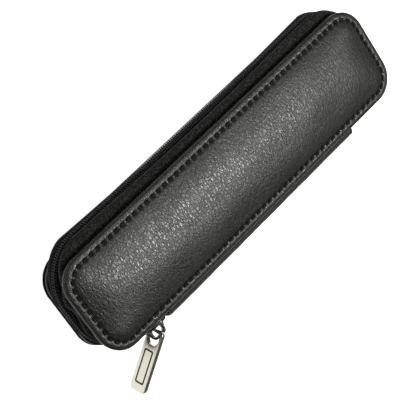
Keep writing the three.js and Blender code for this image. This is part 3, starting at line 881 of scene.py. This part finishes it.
def settle(piece, part, half, kind, climbs=False):
    """Rides the side part of a tape or a coil on its half, or bakes a corner part where it is
    built, and hides the CAD node it stands for.
    """
    tail = part.removesuffix("_corner") + f"_{kind}_tail_{half}"
    "zip_" + kind
    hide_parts(f"{half}_zip_{kind}" if part == "side" else tail)
    if part == "side":
        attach(piece, half + "_half")
        return
    sign = -1 if part == "near_corner" else 1
    side = 1 if half == "front" else -1
    start = Vector((sign * BLEND_FROM, 0, MIDDLE + side * SEAM_HEIGHT))
    way = Vector((sign / (BLEND_TO - BLEND_FROM), 0, side * CLIMB if climbs else 0))
    half + "_half"
    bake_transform(piece)


def parted(x, y):
    """How far each coil stands away from the middle, where the slider's post divides them."""
    on_tail = soft_step(-y, TAIL_SIDE - 3.0, TAIL_SIDE - 0.8)
    return 0.8 * soft_step(x, -63.0, -59.2) * soft_step(-x, 0.0, 1.0) * on_tail


# %% The tapes


def tape_section(i):
    """Centre line of the tape across the zip at path point i, from the coil to the welt."""
    chain, rim = CHAIN[i], RIM[i]
    way, rim_way = CHAIN_WAY[i], RIM_WAY[i]
    at_coil = chain - way * 2.15
    at_welt = rim - rim_way * 1.3
    shift = parted(*chain)
    bulge = np.linalg.norm(chain - rim) * soft_step(chain[1], -9.0, 3.0)
    line = [(*at_coil, 0.45 + shift), (*at_coil, 1.4 + shift * 0.8), (*at_coil, SEAM_HEIGHT)]
    for t in (0.12, 0.28, 0.46, 0.64, 0.82, 1.0):
        swell = (0.35 + 0.42 * bulge) * math.sin(math.pi * t)
        spot = at_coil * (1 - t) + at_welt * t + way * swell
        line.append((*spot, 2.55 + 2.7 * t))
    return np.array(line)


BANDS = {"": slice(None), "_lower": slice(0, 3), "_upper": slice(2, None)}
HALF_TAPE = 0.27


def build_tape(name, part, side, band):
    indices = range(len(CHAIN))[RUN_PARTS[part]]
    lengths = lengths_along(CHAIN)
    vertices, along, across = [], [], []
    for i in indices:
        line = tape_section(i)
        steps = np.gradient(line, axis=0)
        tangent = np.cross((*CHAIN_WAY[i], 0.0), (0.0, 0.0, 1.0))
        face = np.cross(tangent, steps)
        face /= np.linalg.norm(face, axis=1)[:, None]
        reach = lengths_along(line)
        outer, inner = (line - face * HALF_TAPE)[band], (line + face * HALF_TAPE)[band]
        vertices += [*outer, *inner[::-1]]
        across += [*reach[band], *reach[band][::-1]]
        along += [lengths[i]] * (2 * len(outer))
    tape = make_object(name, vertices, tube_faces(len(indices), 2 * len(outer)), side)
    write_uv(tape, np.array(along) * MM, np.array(across) * MM)
    tape.data.materials.append(TAPE_CLOTH)
    return tape


for half, side in (("front", 1), ("back", -1)):
    for part in RUN_PARTS:
        for band in [""] if part == "side" else ["_lower", "_upper"]:
            tape = build_tape(f"{half}_tape_{part}{band}", part, side, BANDS[band])
            settle(tape, part, half, "tape", climbs=band == "_upper")

# %% [markdown]
# ### The coils
# A coil is one nylon filament wound into a flattened spiral, and the two coils mesh because the
# turns of one sit in the gaps of the other. Winding a real spiral would give a heavy mesh, so a
# single closed turn, slightly slanted, is set at every pitch, and the back coil starts half a
# pitch later. A sewing cord runs over the turns and holds them to the tape.

# %% One turn of the coil, and the sewing cord


def turn_recipe():
    sizes = {"Filament": 0.0005, "Turn Width": 0.0017, "Turn Height": 0.0024, "Slant": 0.15}
    recipe = Recipe("coil_turn", sizes)
    loop = recipe.node("CurvePrimitiveCircle", {"mode": "RADIUS"}, Resolution=9, Radius=0.5)
    wide = recipe.math("SUBTRACT", recipe.size("Turn Width"), recipe.size("Filament"))
    high = recipe.math("SUBTRACT", recipe.size("Turn Height"), recipe.size("Filament"))
    spot = recipe.node("!ShaderNodeSeparateXYZ", Vector=recipe.node("InputPosition"))
    across, up = spot, spot.node.outputs["Y"]
    lean = recipe.math("MULTIPLY", recipe.math("MULTIPLY", across, wide), recipe.size("Slant"))
    lifted = recipe.math("MULTIPLY", up, high)
    place = recipe.vector(x=lean, y=recipe.math("MULTIPLY", across, wide), z=lifted)
    loop = recipe.node("SetPosition", Geometry=loop, Position=place)
    thread = recipe.node("CurvePrimitiveCircle", {"mode": "RADIUS"}, Resolution=6, Radius=0.5)
    filament = recipe.size("Filament")
    body = recipe.node("CurveToMesh", Curve=loop, Profile_Curve=thread, Scale=filament)
    return recipe.set_on_points(body)


TURN = turn_recipe()
COIL_PITCH = 0.95
TURN_WIDTH, TURN_HEIGHT, FILAMENT = 1.75, 2.55, 0.50
CORD_HEIGHT, CORD_RADIUS = 1.55, 0.16


def points_along(path, ways, spacing, offset):
    """Places and outward normals at even spacing along a run of the zip."""
    lengths = lengths_along(path)
    spots = np.arange(offset, lengths[-1], spacing)
    place = np.column_stack([np.interp(spots, lengths, path[:, k]) for k in (0, 1)])
    way = np.column_stack([np.interp(spots, lengths, ways[:, k]) for k in (0, 1)])
    way /= np.linalg.norm(way, axis=1)[:, None]
    return place, way


def coil_part(place, part):
    x, y = place[:, 0], place[:, 1]
    corner = np.abs(x) > CUT_X
    spine_side = (y < 0) & ~corner
    near = spine_side & (x < 0)
    far = spine_side & (x > 0)
    return {"near_corner": near, "far_corner": far, "side": ~(near | far)}[part]


def sewing_cord(name, part, side):
    """A thread lying on the turns' outer face."""
    path = CHAIN[RUN_PARTS[part]]
    shift = np.array([parted(*p) for p in path])
    angles = np.arange(6) / 6 * 2 * math.pi

    def section(i):
        height = CORD_HEIGHT + shift[i]
        return [(CORD_RADIUS * math.cos(a), height + CORD_RADIUS * math.sin(a)) for a in angles]

    cord = swept_band(name, path, CHAIN_WAY[RUN_PARTS[part]], section, side)
    cord.data.materials.append(THREAD_BLACK)
    return cord


for half, side in (("front", 1), ("back", -1)):
    start = COIL_PITCH * (0.5 if half == "front" else 1.0)
    place, way = points_along(CHAIN, CHAIN_WAY, COIL_PITCH, start)
    for part in RUN_PARTS:
        chosen = coil_part(place, part)
        spot, out = place[chosen], way[chosen]
        middle = spot - out * (TURN_WIDTH / 2)
        lift = np.array([parted(*p) for p in spot]) + TURN_HEIGHT / 2 - 0.22
        seam = np.column_stack([-out[:, 1], out[:, 0], np.zeros(len(out))])
        turns = laid_along("turns", TURN, np.column_stack([middle, lift]), seam, COIL_NYLON, side,
                           filament=FILAMENT * MM, turn_width=TURN_WIDTH * MM,
                           turn_height=TURN_HEIGHT * MM, slant=0.18 * side)
        coil = joined(f"{half}_coil_{part}", [turns, sewing_cord("cord", part, side)])
        settle(coil, part, half, "coil")

# %% [markdown]
# ## Edge welts and spine
# Under each cover's rim runs a ply of leather that the zip tape is sewn to. It is a narrow strip
# swept round the rim, with its outer edge rounded. It stops on the spine side, where the spine
# leather joins the two halves.

# %% The welt under each rim


def rounded_section(outer, inner, low, high, radius, steps=3):
    """A rounded rectangle as (outward, height) pairs; outward counts from the path."""
    corners = [
        (outer - radius, low + radius, -90), (outer - radius, high - radius, 0),
        (inner + radius, high - radius, 90), (inner + radius, low + radius, 180),
    ]
    section = []
    for x, z, first in corners:
        for angle in np.radians(first + np.linspace(0, 90, steps + 1)):
            section.append((x + radius * math.cos(angle), z + radius * math.sin(angle)))
    return section


WELT_END = 50.7
WELT_BASE, WELT_TOP = WELT_LOW[2] - MIDDLE, WELT_HIGH[2] - MIDDLE
WELT_COUNTS = (20, 40, 16, 150)
WELT_PATH, WELT_WAY = zip_run(RIM_X, -RIM_Y, RIM_Y, RIM_RADIUS, WELT_END, WELT_COUNTS)
for half, side in (("front", 1), ("back", -1)):
    section = rounded_section(-0.25, -2.6, WELT_BASE, WELT_TOP, 0.6)
    welt = swept_band(half + "_welt", WELT_PATH, WELT_WAY, lambda i: section, side)
    welt.data.materials.append(LEATHER_TRIM)
    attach(welt, half + "_half")
    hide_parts(half + "_edge_welt")
print("welt plies:", len(WELT_PATH), "sections each")

# %% [markdown]
# The spine is one strip of leather, arched outwards, with both long edges tucked under the
# covers. Its middle moves with the spine. The two edges are where the case really bends, so each
# edge is its own piece, left where it is built.

# %% The arched spine and its two edges
SPINE_BULGE = 3.2
SPINE_EDGE_Y = 19.4
BEND_START = 6.0


def spine_surface(height):
    """How far out the spine's outer face stands at a height from the middle plane."""
    share = np.clip(np.abs(height) / 7.7, 0, 1)
    return SPINE_EDGE_Y + SPINE_BULGE * np.sqrt(1 - share**2)


def leather_strip(name, profile, half_length, thickness, side=1, columns=90):
    """A strip with this (y, height) profile, from end to end of the spine, rounded at its ends."""
    profile = np.array(profile)
    steps = np.gradient(profile, axis=0)
    face = np.column_stack([steps[:, 1], -steps[:, 0]])
    face /= np.linalg.norm(face, axis=1)[:, None]
    if face[len(face) // 2][0] > 0:
        face = -face
    rows = []
    for x in half_length * np.sin(np.linspace(-math.pi / 2, math.pi / 2, columns)):
        close = np.clip((half_length - abs(x)) / (thickness * 0.5), 0, 1)
        skin = thickness / 2 * math.sqrt(1 - (1 - close) ** 2) + 0.02
        wave = 0.05 * math.sin(x * 0.31) + 0.04 * math.sin(x * 0.83 + 1.0)
        outer = profile - face * (thickness / 2) + face * (skin + wave * 0.6)
        inner = profile - face * (thickness / 2) - face * skin
        for y, height in [*outer, *inner[::-1]]:
            rows.append((x, y, height))
    strip = make_object(name, rows, tube_faces(columns, 2 * len(profile)), side)
    strip.data.materials.append(LEATHER_TRIM)
    return strip


heights = np.linspace(-BEND_START, BEND_START, 25)
middle_profile = [(-spine_surface(h), h) for h in heights]
SPINE = leather_strip("spine_middle", middle_profile, SPINE_END, LEATHER)
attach(SPINE, "spine")
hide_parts("spine_leather")

EDGE_PROFILE = [(-spine_surface(h), h) for h in (6.0, 6.4, 6.8)]
EDGE_PROFILE += [(-20.15, 7.2), (-19.55, 7.48), (-18.9, 7.58), (-18.3, 7.6), (-17.8, 7.6)]
for half, side in (("front", 1), ("back", -1)):
    edge = leather_strip(half + "_spine_edge", EDGE_PROFILE, SPINE_END, LEATHER, side)
    start = (0, -20.9 * MM, (MIDDLE + side * 6.3) * MM)
    end = (0, -18.6 * MM, (MIDDLE + side * 7.6) * MM)
    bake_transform(edge)
    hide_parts("spine_leather")
print("spine strip:", round(2 * SPINE_END, 1), "mm long in three pieces")

# %% [markdown]
# ## Linings
# A cloth lining covers the board inside each cover, and a ribbon of the same cloth covers the
# inner side of the spine. Each is a thin sheet, laid flat and sewn at its edge,
# with the board pressing a shallow step in it.

# %% Lining panels
LINING_FACE = LINING_LOW[2] - MIDDLE
LINING_THICK = 0.45
LINING_STEPS = [
    (1.25, 0.0), (1.6, -0.02), (2.6, 0.05), (3.3, 0.16), (4.2, 0.02), (6.0, -0.05), (9.0, -0.1),
]


def lining_panel(name, side):
    count = 4 * 90
    rings = []
    for inset, lift in LINING_STEPS:
        path, _, _ = rim_outline(inset, count)
        rings.append(np.column_stack([path, np.full(count, LINING_FACE + lift)]))
    edge = rings[-1][:, :2]
    spine_x = np.clip(edge[:, 0], -(RIM_X - RIM_Y), RIM_X - RIM_Y)
    centre = np.column_stack([spine_x, np.zeros(count)])
    for t in (0.2, 0.4, 0.6, 0.8, 1.0):
        ring = edge + (centre - edge) * t
        height = LINING_FACE - 0.1 - 0.08 * np.sin(ring[:, 0] * 0.11) * t
        rings.append(np.column_stack([ring, height]))
    upper = [ring + np.array([0, 0, LINING_THICK]) for ring in rings]
    for ring in upper:
        ring[:, 2] = np.minimum(ring[:, 2], LINING_FACE + LINING_THICK + 0.04)
    loops = list(reversed(rings)) + upper
    panel = make_object(name, np.concatenate(loops), grid_faces(len(loops), count), side)
    close_middle(panel)
    places = np.array([v.co[:] for v in panel.data.vertices])
    write_uv(panel, places[:, 0], places[:, 1])
    panel.data.materials.append(LINING_CLOTH)
    return panel


for half, side in (("front", 1), ("back", -1)):
    panel = lining_panel(half + "_lining_panel", side)
    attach(panel, half + "_half")
    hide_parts(half + "_lining")

# %% The ribbon inside the spine
RIBBON_LOW, RIBBON_HIGH = node_box("spine_lining")
RIBBON_HALF = RIBBON_HIGH[2] - MIDDLE
RIBBON_THICK = 0.4


def spine_ribbon():
    columns, rows = 120, 21
    vertices, along, across = [], [], []
    for x in np.linspace(RIBBON_LOW[0], RIBBON_HIGH[0], columns):
        heights = np.linspace(-RIBBON_HALF, RIBBON_HALF, rows)
        slack = 0.06 * np.sin(x * 0.23 + heights * 0.4)
        face = RIBBON_LOW[1] + 0.08
        outer = [(x, face + s, h) for h, s in zip(heights, slack)]
        inner = [(x, face + RIBBON_THICK + s, h) for h, s in zip(heights, slack)]
        vertices += [*outer, *inner[::-1]]
        along += [x * MM] * (2 * rows)
        across += [*(heights * MM), *(heights[::-1] * MM)]
    ribbon = make_object("spine_ribbon", vertices, tube_faces(columns, 2 * rows))
    write_uv(ribbon, along, across)
    ribbon.data.materials.append(LINING_CLOTH)
    return ribbon


RIBBON = spine_ribbon()
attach(RIBBON, "spine")
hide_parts("spine_lining")
ribbon_flat = ((RIBBON_HIGH[0] - RIBBON_LOW[0]) * MM, 2 * RIBBON_HALF * MM)

# %% [markdown]
# ## Pen loops
# Two pens sit in loops of one wide elastic, sewn to the back lining in three places. Elastic has
# ribs that run along it, round each loop, so the band is a ribbed strip bent over the pens.

# %% The elastic band
BAND_LOW, BAND_HIGH = node_box("pen_loop_band")
SEAM_BOXES = [node_box(f"pen_loop_seam_{number}") for number in (1, 2, 3)]
SEAM_YS = [(low[1] + high[1]) / 2 for low, high in SEAM_BOXES]
ELASTIC = 0.7
LOOP_CENTRE = (SEAM_YS[1] + SEAM_YS[2]) / 2
LOOP_HALF, LOOP_FOOT = 6.1, 1.1
LOOP_TOP = BAND_HIGH[2] - ELASTIC / 2
BAND_BASE = BAND_LOW[2] + ELASTIC / 2


def loop_line():
    """Centre line of the band across the case, as (y, z), over both pens."""
    line = [(BAND_HIGH[1] - 0.1, BAND_BASE)]
    springing = LOOP_TOP - LOOP_HALF
    rise = np.linspace(0, 1, 12)

    def flank(centre, way, shares):
        for t in shares:
            out = LOOP_HALF + LOOP_FOOT * (1 - min(1, t * 3.0)) ** 2
            climb = 0.15 * t + 0.85 * soft_step(t, 0, 1)
            line.append((centre + way * out, BAND_BASE + (springing - BAND_BASE) * climb))

    for centre in (LOOP_CENTRE, -LOOP_CENTRE):
        flank(centre, 1, rise[:-1])
        for angle in np.linspace(0, math.pi, 26):
            y, z = LOOP_HALF * math.cos(angle), LOOP_HALF * math.sin(angle)
            line.append((centre + y, springing + z))
        flank(centre, -1, rise[::-1][1:])
    return np.array([*line, (BAND_LOW[1] + 0.1, BAND_BASE)])


def build_band():
    line = loop_line()
    steps = np.gradient(line, axis=0)
    face = np.column_stack([steps[:, 1], -steps[:, 0]])
    face /= np.linalg.norm(face, axis=1)[:, None]
    reach = lengths_along(line)
    xs = np.linspace(BAND_LOW[0] + 0.05, BAND_HIGH[0] - 0.05, 105)
    vertices, along, across = [], [], []
    for x in xs:
        edge = min(x - xs[0], xs[-1] - x)
        skin = ELASTIC / 2 * math.sqrt(max(0.05, 1 - (1 - min(edge / 0.35, 1)) ** 2))
        skin += 0.05 * math.cos(2 * math.pi * (x - xs[0]) / 1.0)
        outer, inner = line + face * skin, line - face * skin
        for y, z in [*outer, *inner[::-1]]:
            vertices.append((x, y, z - MIDDLE))
        along += [*reach, *reach[::-1]]
        across += [x] * (2 * len(line))
    band = make_object("pen_loop_elastic", vertices, tube_faces(len(xs), 2 * len(line)))
    write_uv(band, np.array(along) * MM, np.array(across) * MM)
    band.data.materials.append(ELASTIC_CLOTH)
    return band


BAND = build_band()
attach(BAND, "back_half")
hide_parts("pen_loop_band")

# %% The seams that hold the band down
for number, (low, high) in enumerate(SEAM_BOXES, start=1):
    xs = np.arange(low[0] + 1.2, high[0] - 0.8, 2.2)
    top = BAND_BASE + ELASTIC / 2 + 0.12 - MIDDLE
    places = np.column_stack([xs, np.full(len(xs), SEAM_YS[number - 1]), np.full(len(xs), top)])
    rows = laid_along(f"pen_seam_{number}", STITCH, places, [(1, 0, 0)] * len(xs), THREAD_BLACK, 1,
                      length=1.9 * MM, thickness=0.5 * MM, arch=0.2 * MM)
    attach(rows, "back_half")
    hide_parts(f"pen_loop_seam_{number}")

# %% [markdown]
# ## Slider, stops and puller
# The slider is a die-cast body: two plates joined by a post between the coils, with an arched
# bail riveted on the outer plate. Every part is a flat outline given thickness, so each is drawn
# as a filled curve and turned to a mesh, whose bevel rounds all its edges at once.

# %% Plates from outlines


def rounded_polygon(corners, steps=6):
    """A closed outline with each (x, y, radius) corner rounded."""
    outline = []
    count = len(corners)
    for i, (x, y, radius) in enumerate(corners):
        here = np.array((x, y), float)
        before = np.array(corners[i - 1][:2], float) - here
        after = np.array(corners[(i + 1) % count][:2], float) - here
        before, after = before / np.linalg.norm(before), after / np.linalg.norm(after)
        half_angle = math.acos(np.clip(before @ after, -1, 1)) / 2
        if radius <= 0 or half_angle > 1.55:
            outline.append(tuple(here))
            continue
        setback = radius / math.tan(half_angle)
        middle = (before + after) / np.linalg.norm(before + after)
        centre = here + middle * radius / math.sin(half_angle)
        first, last = here + before * setback - centre, here + after * setback - centre
        a, b = math.atan2(first[1], first[0]), math.atan2(last[1], last[0])
        sweep = (b - a + math.pi) % (2 * math.pi) - math.pi
        for t in np.linspace(0, 1, steps + 1):
            angle = a + sweep * t
            outline.append(tuple(centre + radius * np.array((math.cos(angle), math.sin(angle)))))
    return outline


def rounded_box(x0, x1, y0, y1, radius, steps=6):
    corners = [(x0, y0, radius), (x1, y0, radius), (x1, y1, radius), (x0, y1, radius)]
    return rounded_polygon(corners, steps)


def cut_plate(name, outlines, thickness, bevel, place, finish):
    """A plate with holes: the first outline is its rim, and place puts it in the case."""
    flat = bpy.data.curves.new(name, "CURVE")
    flat.dimensions = "2D"
    flat.fill_mode = "BOTH"
    flat.extrude = (thickness / 2 - bevel) * MM
    flat.bevel_depth = bevel * MM
    flat.bevel_resolution = 2
    flat.offset = -bevel * MM
    for outline in outlines:
        spline = flat.splines.new("POLY")
        spline.points.add(len(outline) - 1)
        for point, (x, y) in zip(spline.points, outline):
            point.co = (x * MM, y * MM, 0, 1)
        spline.use_cyclic_u = True
    holder = linked(name, flat)
    mesh = baked(holder)
    bpy.data.objects.remove(holder)
    mesh.transform(place)
    mesh.name = name
    piece = linked(name, mesh)
    tidy_normals(piece)
    mesh.materials.clear()
    mesh.materials.append(finish)
    soften(mesh)
    return piece


CREASE_ANGLE = math.radians(35)


def soften(mesh):
    """Smooth faces with a crease wherever two faces meet at more than the limit."""
    shade_smooth(mesh)
    mesh.set_sharp_from_angle(angle=CREASE_ANGLE)


def basis(x_way, y_way, z_way, origin):
    """The matrix that carries a drawing's axes to these directions, its origin in mm."""
    turn = Matrix((x_way, y_way, z_way)).transposed().to_4x4()
    return Matrix.Translation(Vector(origin) * MM) @ turn


# %% [markdown]
# The outer plate is a shield with two lobes where the two coils come in, and a flange on each
# side curls round the coils. The post sits between the lobes.

# %% The slider's body
BODY_LOW, BODY_HIGH = node_box("slider_body")
SLIDER_X = (BODY_LOW[0] + BODY_HIGH[0]) / 2
SLIDER_HALF = (BODY_HIGH[0] - BODY_LOW[0]) / 2
OUTER_FACE, INNER_FACE = BODY_LOW[1], BODY_HIGH[1]
PLATE = 1.1
WIDE = BODY_HIGH[2] - MIDDLE
TO_PLATE = ((1, 0, 0), (0, 0, 1), (0, -1, 0))


def shield(wide, narrow, notch):
    end = SLIDER_HALF
    lower = [
        (-end, -narrow * 0.62, 1.4), (-end * 0.5, -narrow, 2.0), (end * 0.35, -wide, 2.5),
        (end, -wide * 0.86, 1.3), (end, -wide * 0.22, 0.5),
    ]
    upper = [(x, -y, radius) for x, y, radius in reversed(lower)]
    return rounded_polygon([*lower, (end - notch, 0, 0.8), *upper], steps=4)


def slider_piece(name, outline, y_out, y_in, bevel):
    place = basis(*TO_PLATE, (SLIDER_X, (y_out + y_in) / 2, MIDDLE))
    return cut_plate(name, [outline], y_in - y_out, bevel, place, SLIDER_METAL)


FLANGE_DEPTH = 1.5
flange = rounded_polygon([(-SLIDER_HALF + 0.6, 3.2, 0.3), (SLIDER_HALF - 0.9, 3.2, 0.3),
                          (SLIDER_HALF - 0.9, 4.05, 0.3), (-SLIDER_HALF + 0.6, 3.95, 0.3)], steps=3)
other_flange = [(x, -y) for x, y in flange][::-1]
post = rounded_box(-0.4, 3.8, -0.5, 0.5, 0.3, steps=3)
UNDER_PLATE = OUTER_FACE + PLATE
body_pieces = [
    slider_piece("outer_plate", shield(WIDE, 4.0, 1.3), OUTER_FACE, UNDER_PLATE, 0.35),
    slider_piece("inner_plate", shield(3.6, 3.5, 0.8), INNER_FACE - 0.9, INNER_FACE, 0.3),
    slider_piece("flange_a", flange, UNDER_PLATE - 0.4, UNDER_PLATE + FLANGE_DEPTH, 0.2),
    slider_piece("flange_b", other_flange, UNDER_PLATE - 0.4, UNDER_PLATE + FLANGE_DEPTH, 0.2),
    slider_piece("post", post, UNDER_PLATE - 0.3, INNER_FACE - 0.6, 0.15),
]
SLIDER = joined("slider_casting", body_pieces)
soften(SLIDER.data)
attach(SLIDER, "slider")
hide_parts("slider_body")

# %% The bail
BAIL_LOW, BAIL_HIGH = node_box("slider_bail")
BAIL_BASE = BAIL_HIGH[1]
BAIL_TALL = BAIL_HIGH[1] - BAIL_LOW[1]
BAIL_HALF = (BAIL_HIGH[0] - BAIL_LOW[0]) / 2
PIVOT_OUT = 2.65
EYE_HALF, EYE_HIGH = 2.0, 3.3
EYE_LOW, EYE_TOP = PIVOT_OUT - EYE_HIGH / 2, PIVOT_OUT + EYE_HIGH / 2
arch = rounded_polygon([
    (-BAIL_HALF, 0, 0.2), (BAIL_HALF, 0, 0.2), (BAIL_HALF, 1.0, 0.4), (3.35, 2.2, 1.4),
    (2.7, BAIL_TALL, 1.5), (-2.7, BAIL_TALL, 1.5), (-3.35, 2.2, 1.4), (-BAIL_HALF, 1.0, 0.4),
])
eye = rounded_polygon([
    (-EYE_HALF, EYE_LOW, 1.1), (-EYE_HALF, EYE_TOP, 1.1), (EYE_HALF, EYE_TOP, 1.1),
    (EYE_HALF, EYE_LOW, 1.1),
])
bail_place = basis((1, 0, 0), (0, -1, 0), (0, 0, -1), (SLIDER_X, BAIL_BASE, MIDDLE))
BAIL = cut_plate("bail", [arch, eye], BAIL_HIGH[2] - BAIL_LOW[2], 0.42, bail_place, SLIDER_METAL)
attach(BAIL, "slider")
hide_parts("slider_bail")
print("slider", round(2 * SLIDER_HALF, 1), "mm long, bail", round(BAIL_TALL, 1), "mm high")

# %% [markdown]
# The puller is a flat satin plate with an eye that hangs on the bail and a plain enamelled frame
# line sunk in its face. It is drawn flat and then hung at the pivot, leaning and swung as the
# frame has it.

# %% The puller
PULLER_LEAN, PULLER_SWING = math.radians(24), math.radians(180 + 43)
PIVOT = (SLIDER_X, OUTER_FACE - 2.75, MIDDLE)
PULLER_END, PULLER_HALF, PULLER_THICK = 22.6, 3.7, 1.6
hang = (Matrix.Translation(Vector(PIVOT) * MM) @ Matrix.Rotation(PULLER_LEAN, 4, "X")
        @ Matrix.Rotation(PULLER_SWING, 4, "Z"))
TO_PULLER = Matrix(((1, 0, 0), (0, 0, 1), (0, -1, 0))).transposed().to_4x4()


def d_eye():
    return rounded_polygon([
        (0.6, -2.5, 0.9), (3.6, -2.5, 1.9), (5.2, -1.2, 1.4), (5.2, 1.2, 1.4), (3.6, 2.5, 1.9),
        (0.6, 2.5, 0.9),
    ])


def grooved(plate, cutter):
    """Cuts the cutter out of the plate, exactly, and discards the cutter."""
    cut = plate.modifiers.new("groove", "BOOLEAN")
    cut.operation = "DIFFERENCE"
    cut.solver = "EXACT"
    cut.object = cutter
    mesh = baked(plate)
    plate.modifiers.clear()
    plate.data = mesh
    bpy.data.objects.remove(cutter)
    tidy_normals(plate)
    mesh.materials.clear()
    mesh.materials.append(PULLER_METAL)
    mesh.polygons.foreach_set("material_index", [0] * len(mesh.polygons))
    soften(mesh)


FACE = PULLER_THICK / 2
INLAY_DEPTH, INLAY_LINE = 0.35, 0.6
INLAY_FROM, INLAY_TO, INLAY_HALF = 7.0, 19.6, 2.1


def frame_line(name, depth, above, clearance, finish):
    """A thin rectangular frame whose top stands this far above the plate's face."""

    def ring(grown, radius):
        half = INLAY_HALF + grown
        return rounded_box(INLAY_FROM - grown, INLAY_TO + grown, -half, half, radius)

    outlines = [ring(clearance, 0.7), ring(-INLAY_LINE - clearance, 0.3)]
    sunk = Matrix.Translation((0, 0, (FACE + above - depth / 2) * MM))
    return cut_plate(name, outlines, depth, 0.02, hang @ TO_PULLER @ sunk, finish)


puller_rim = rounded_box(-0.6, PULLER_END, -PULLER_HALF, PULLER_HALF, 1.6)
PULLER = cut_plate("puller", [puller_rim, d_eye()], PULLER_THICK, 0.28, hang @ TO_PULLER,
                   PULLER_METAL)
grooved(PULLER, frame_line("groove", INLAY_DEPTH + 0.25, 0.2, 0.03, PULLER_METAL))
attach(PULLER, "puller")
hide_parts("puller_plate")
INLAY = frame_line("enamel_frame", INLAY_DEPTH - 0.08, -0.08, 0.0, ENAMEL)
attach(INLAY, "puller")
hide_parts("puller_inlay")
print("puller faces:", len(PULLER.data.polygons), "enamel faces:", len(INLAY.data.polygons))

# %% The stops under the spine's ends
for node in ("top_stop_front", "top_stop_back", "bottom_stop"):
    low, high = node_box(node)
    outline = rounded_box(low[0], high[0], low[2], high[2], 0.35)
    lifted = basis(*TO_PLATE, (0, (low[1] + high[1]) / 2, 0))
    clip = cut_plate(node + "_clip", [outline], high[1] - low[1], 0.18, lifted, SLIDER_METAL)
    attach(clip, "spine")
    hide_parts(node)

# %% [markdown]
# ## Floor, light and camera
# A plain pale floor, and one small soft light above the case, off its middle towards the far end
# and the spine, whose reflection runs along the crown. Two weaker wide lights open the shadows,
# and a dim surround keeps the leather black.

# %% Floor and light


def build_floor():
    size, drop = 6.0, -0.0002
    mesh = bpy.data.meshes.new("floor")
    corners = [(x * size, y * size, drop) for x, y in ((-1, -1), (1, -1), (1, 1), (-1, 1))]
    mesh.from_pydata(corners, [], [(0, 1, 2, 3)])
    floor = linked("floor", mesh)
    paper = Finish("pale_paper", Base_Color=(0.92, 0.92, 0.92, 1), Roughness=0.9,
                   Specular_IOR_Level=0.1, Emission_Color=(1, 1, 1, 1), Emission_Strength=0.92)
    floor.data.materials.append(paper.material)


def soft_light(name, place, aim, size, power, tint=(1, 1, 1)):
    data = bpy.data.lights.new(name, "AREA")
    data.shape = "RECTANGLE"
    data.size, data.size_y = size
    data.energy = power
    data.color = tint
    lamp = linked(name, data)
    lamp.location = place
    lamp.rotation_euler = (Vector(aim) - Vector(place)).to_track_quat("-Z", "Y").to_euler()


build_floor()
soft_light("softbox", (0.225, -0.15, 0.60), (0, 0, 0.01), (0.14, 0.09), 3.8, (0.98, 1.0, 0.93))
soft_light("top_light", (0.16, 0.12, 0.64), (0, 0, 0.01), (0.26, 0.20), 0.55, (1.0, 0.94, 1.0))
soft_light("room_light", (-1.0, 1.0, 1.6), (0, 0, 0.01), (1.8, 1.8), 3.0)
surround = bpy.data.worlds.new("surround")
surround.use_nodes = True
sky = surround.node_tree.nodes["Background"]
sky.inputs["Color"].default_value = (1, 1, 1, 1)
sky.inputs["Strength"].default_value = 0.05
bpy.context.scene.world = surround
bpy.context.scene.view_settings.view_transform = "Standard"

# %% [markdown]
# The camera looks down on the case from beyond its near end, turned so that the long side runs
# across the picture from corner to corner.

# %% Camera
AZIMUTH, ELEVATION, ROLL = (math.radians(a) for a in (227.55, 57.29, 93.05))
DISTANCE = 0.51745
LENS = 127.1
AIM_RIGHT, AIM_UP = 0.00575, 0.01212
flat_reach = math.cos(ELEVATION)
back = Vector((math.sin(AZIMUTH) * flat_reach, -math.cos(AZIMUTH) * flat_reach,
               math.sin(ELEVATION)))
right = (-back).cross(Vector((0, 0, 1))).normalized()
up = right.cross(-back)
rolled_right = right * math.cos(ROLL) + up * math.sin(ROLL)
rolled_up = up * math.cos(ROLL) - right * math.sin(ROLL)
aim = Vector((0, 0, MIDDLE * MM)) - rolled_right * AIM_RIGHT - rolled_up * AIM_UP
lens = bpy.data.cameras.new("camera")
lens.lens = LENS
lens.sensor_width = 36.0
lens.clip_start = 0.01
camera = linked("camera", lens)
turn = Matrix((rolled_right, rolled_up, back)).transposed()
camera.matrix_world = Matrix.Translation(aim + back * DISTANCE) @ turn.to_4x4()
bpy.context.scene.camera = camera
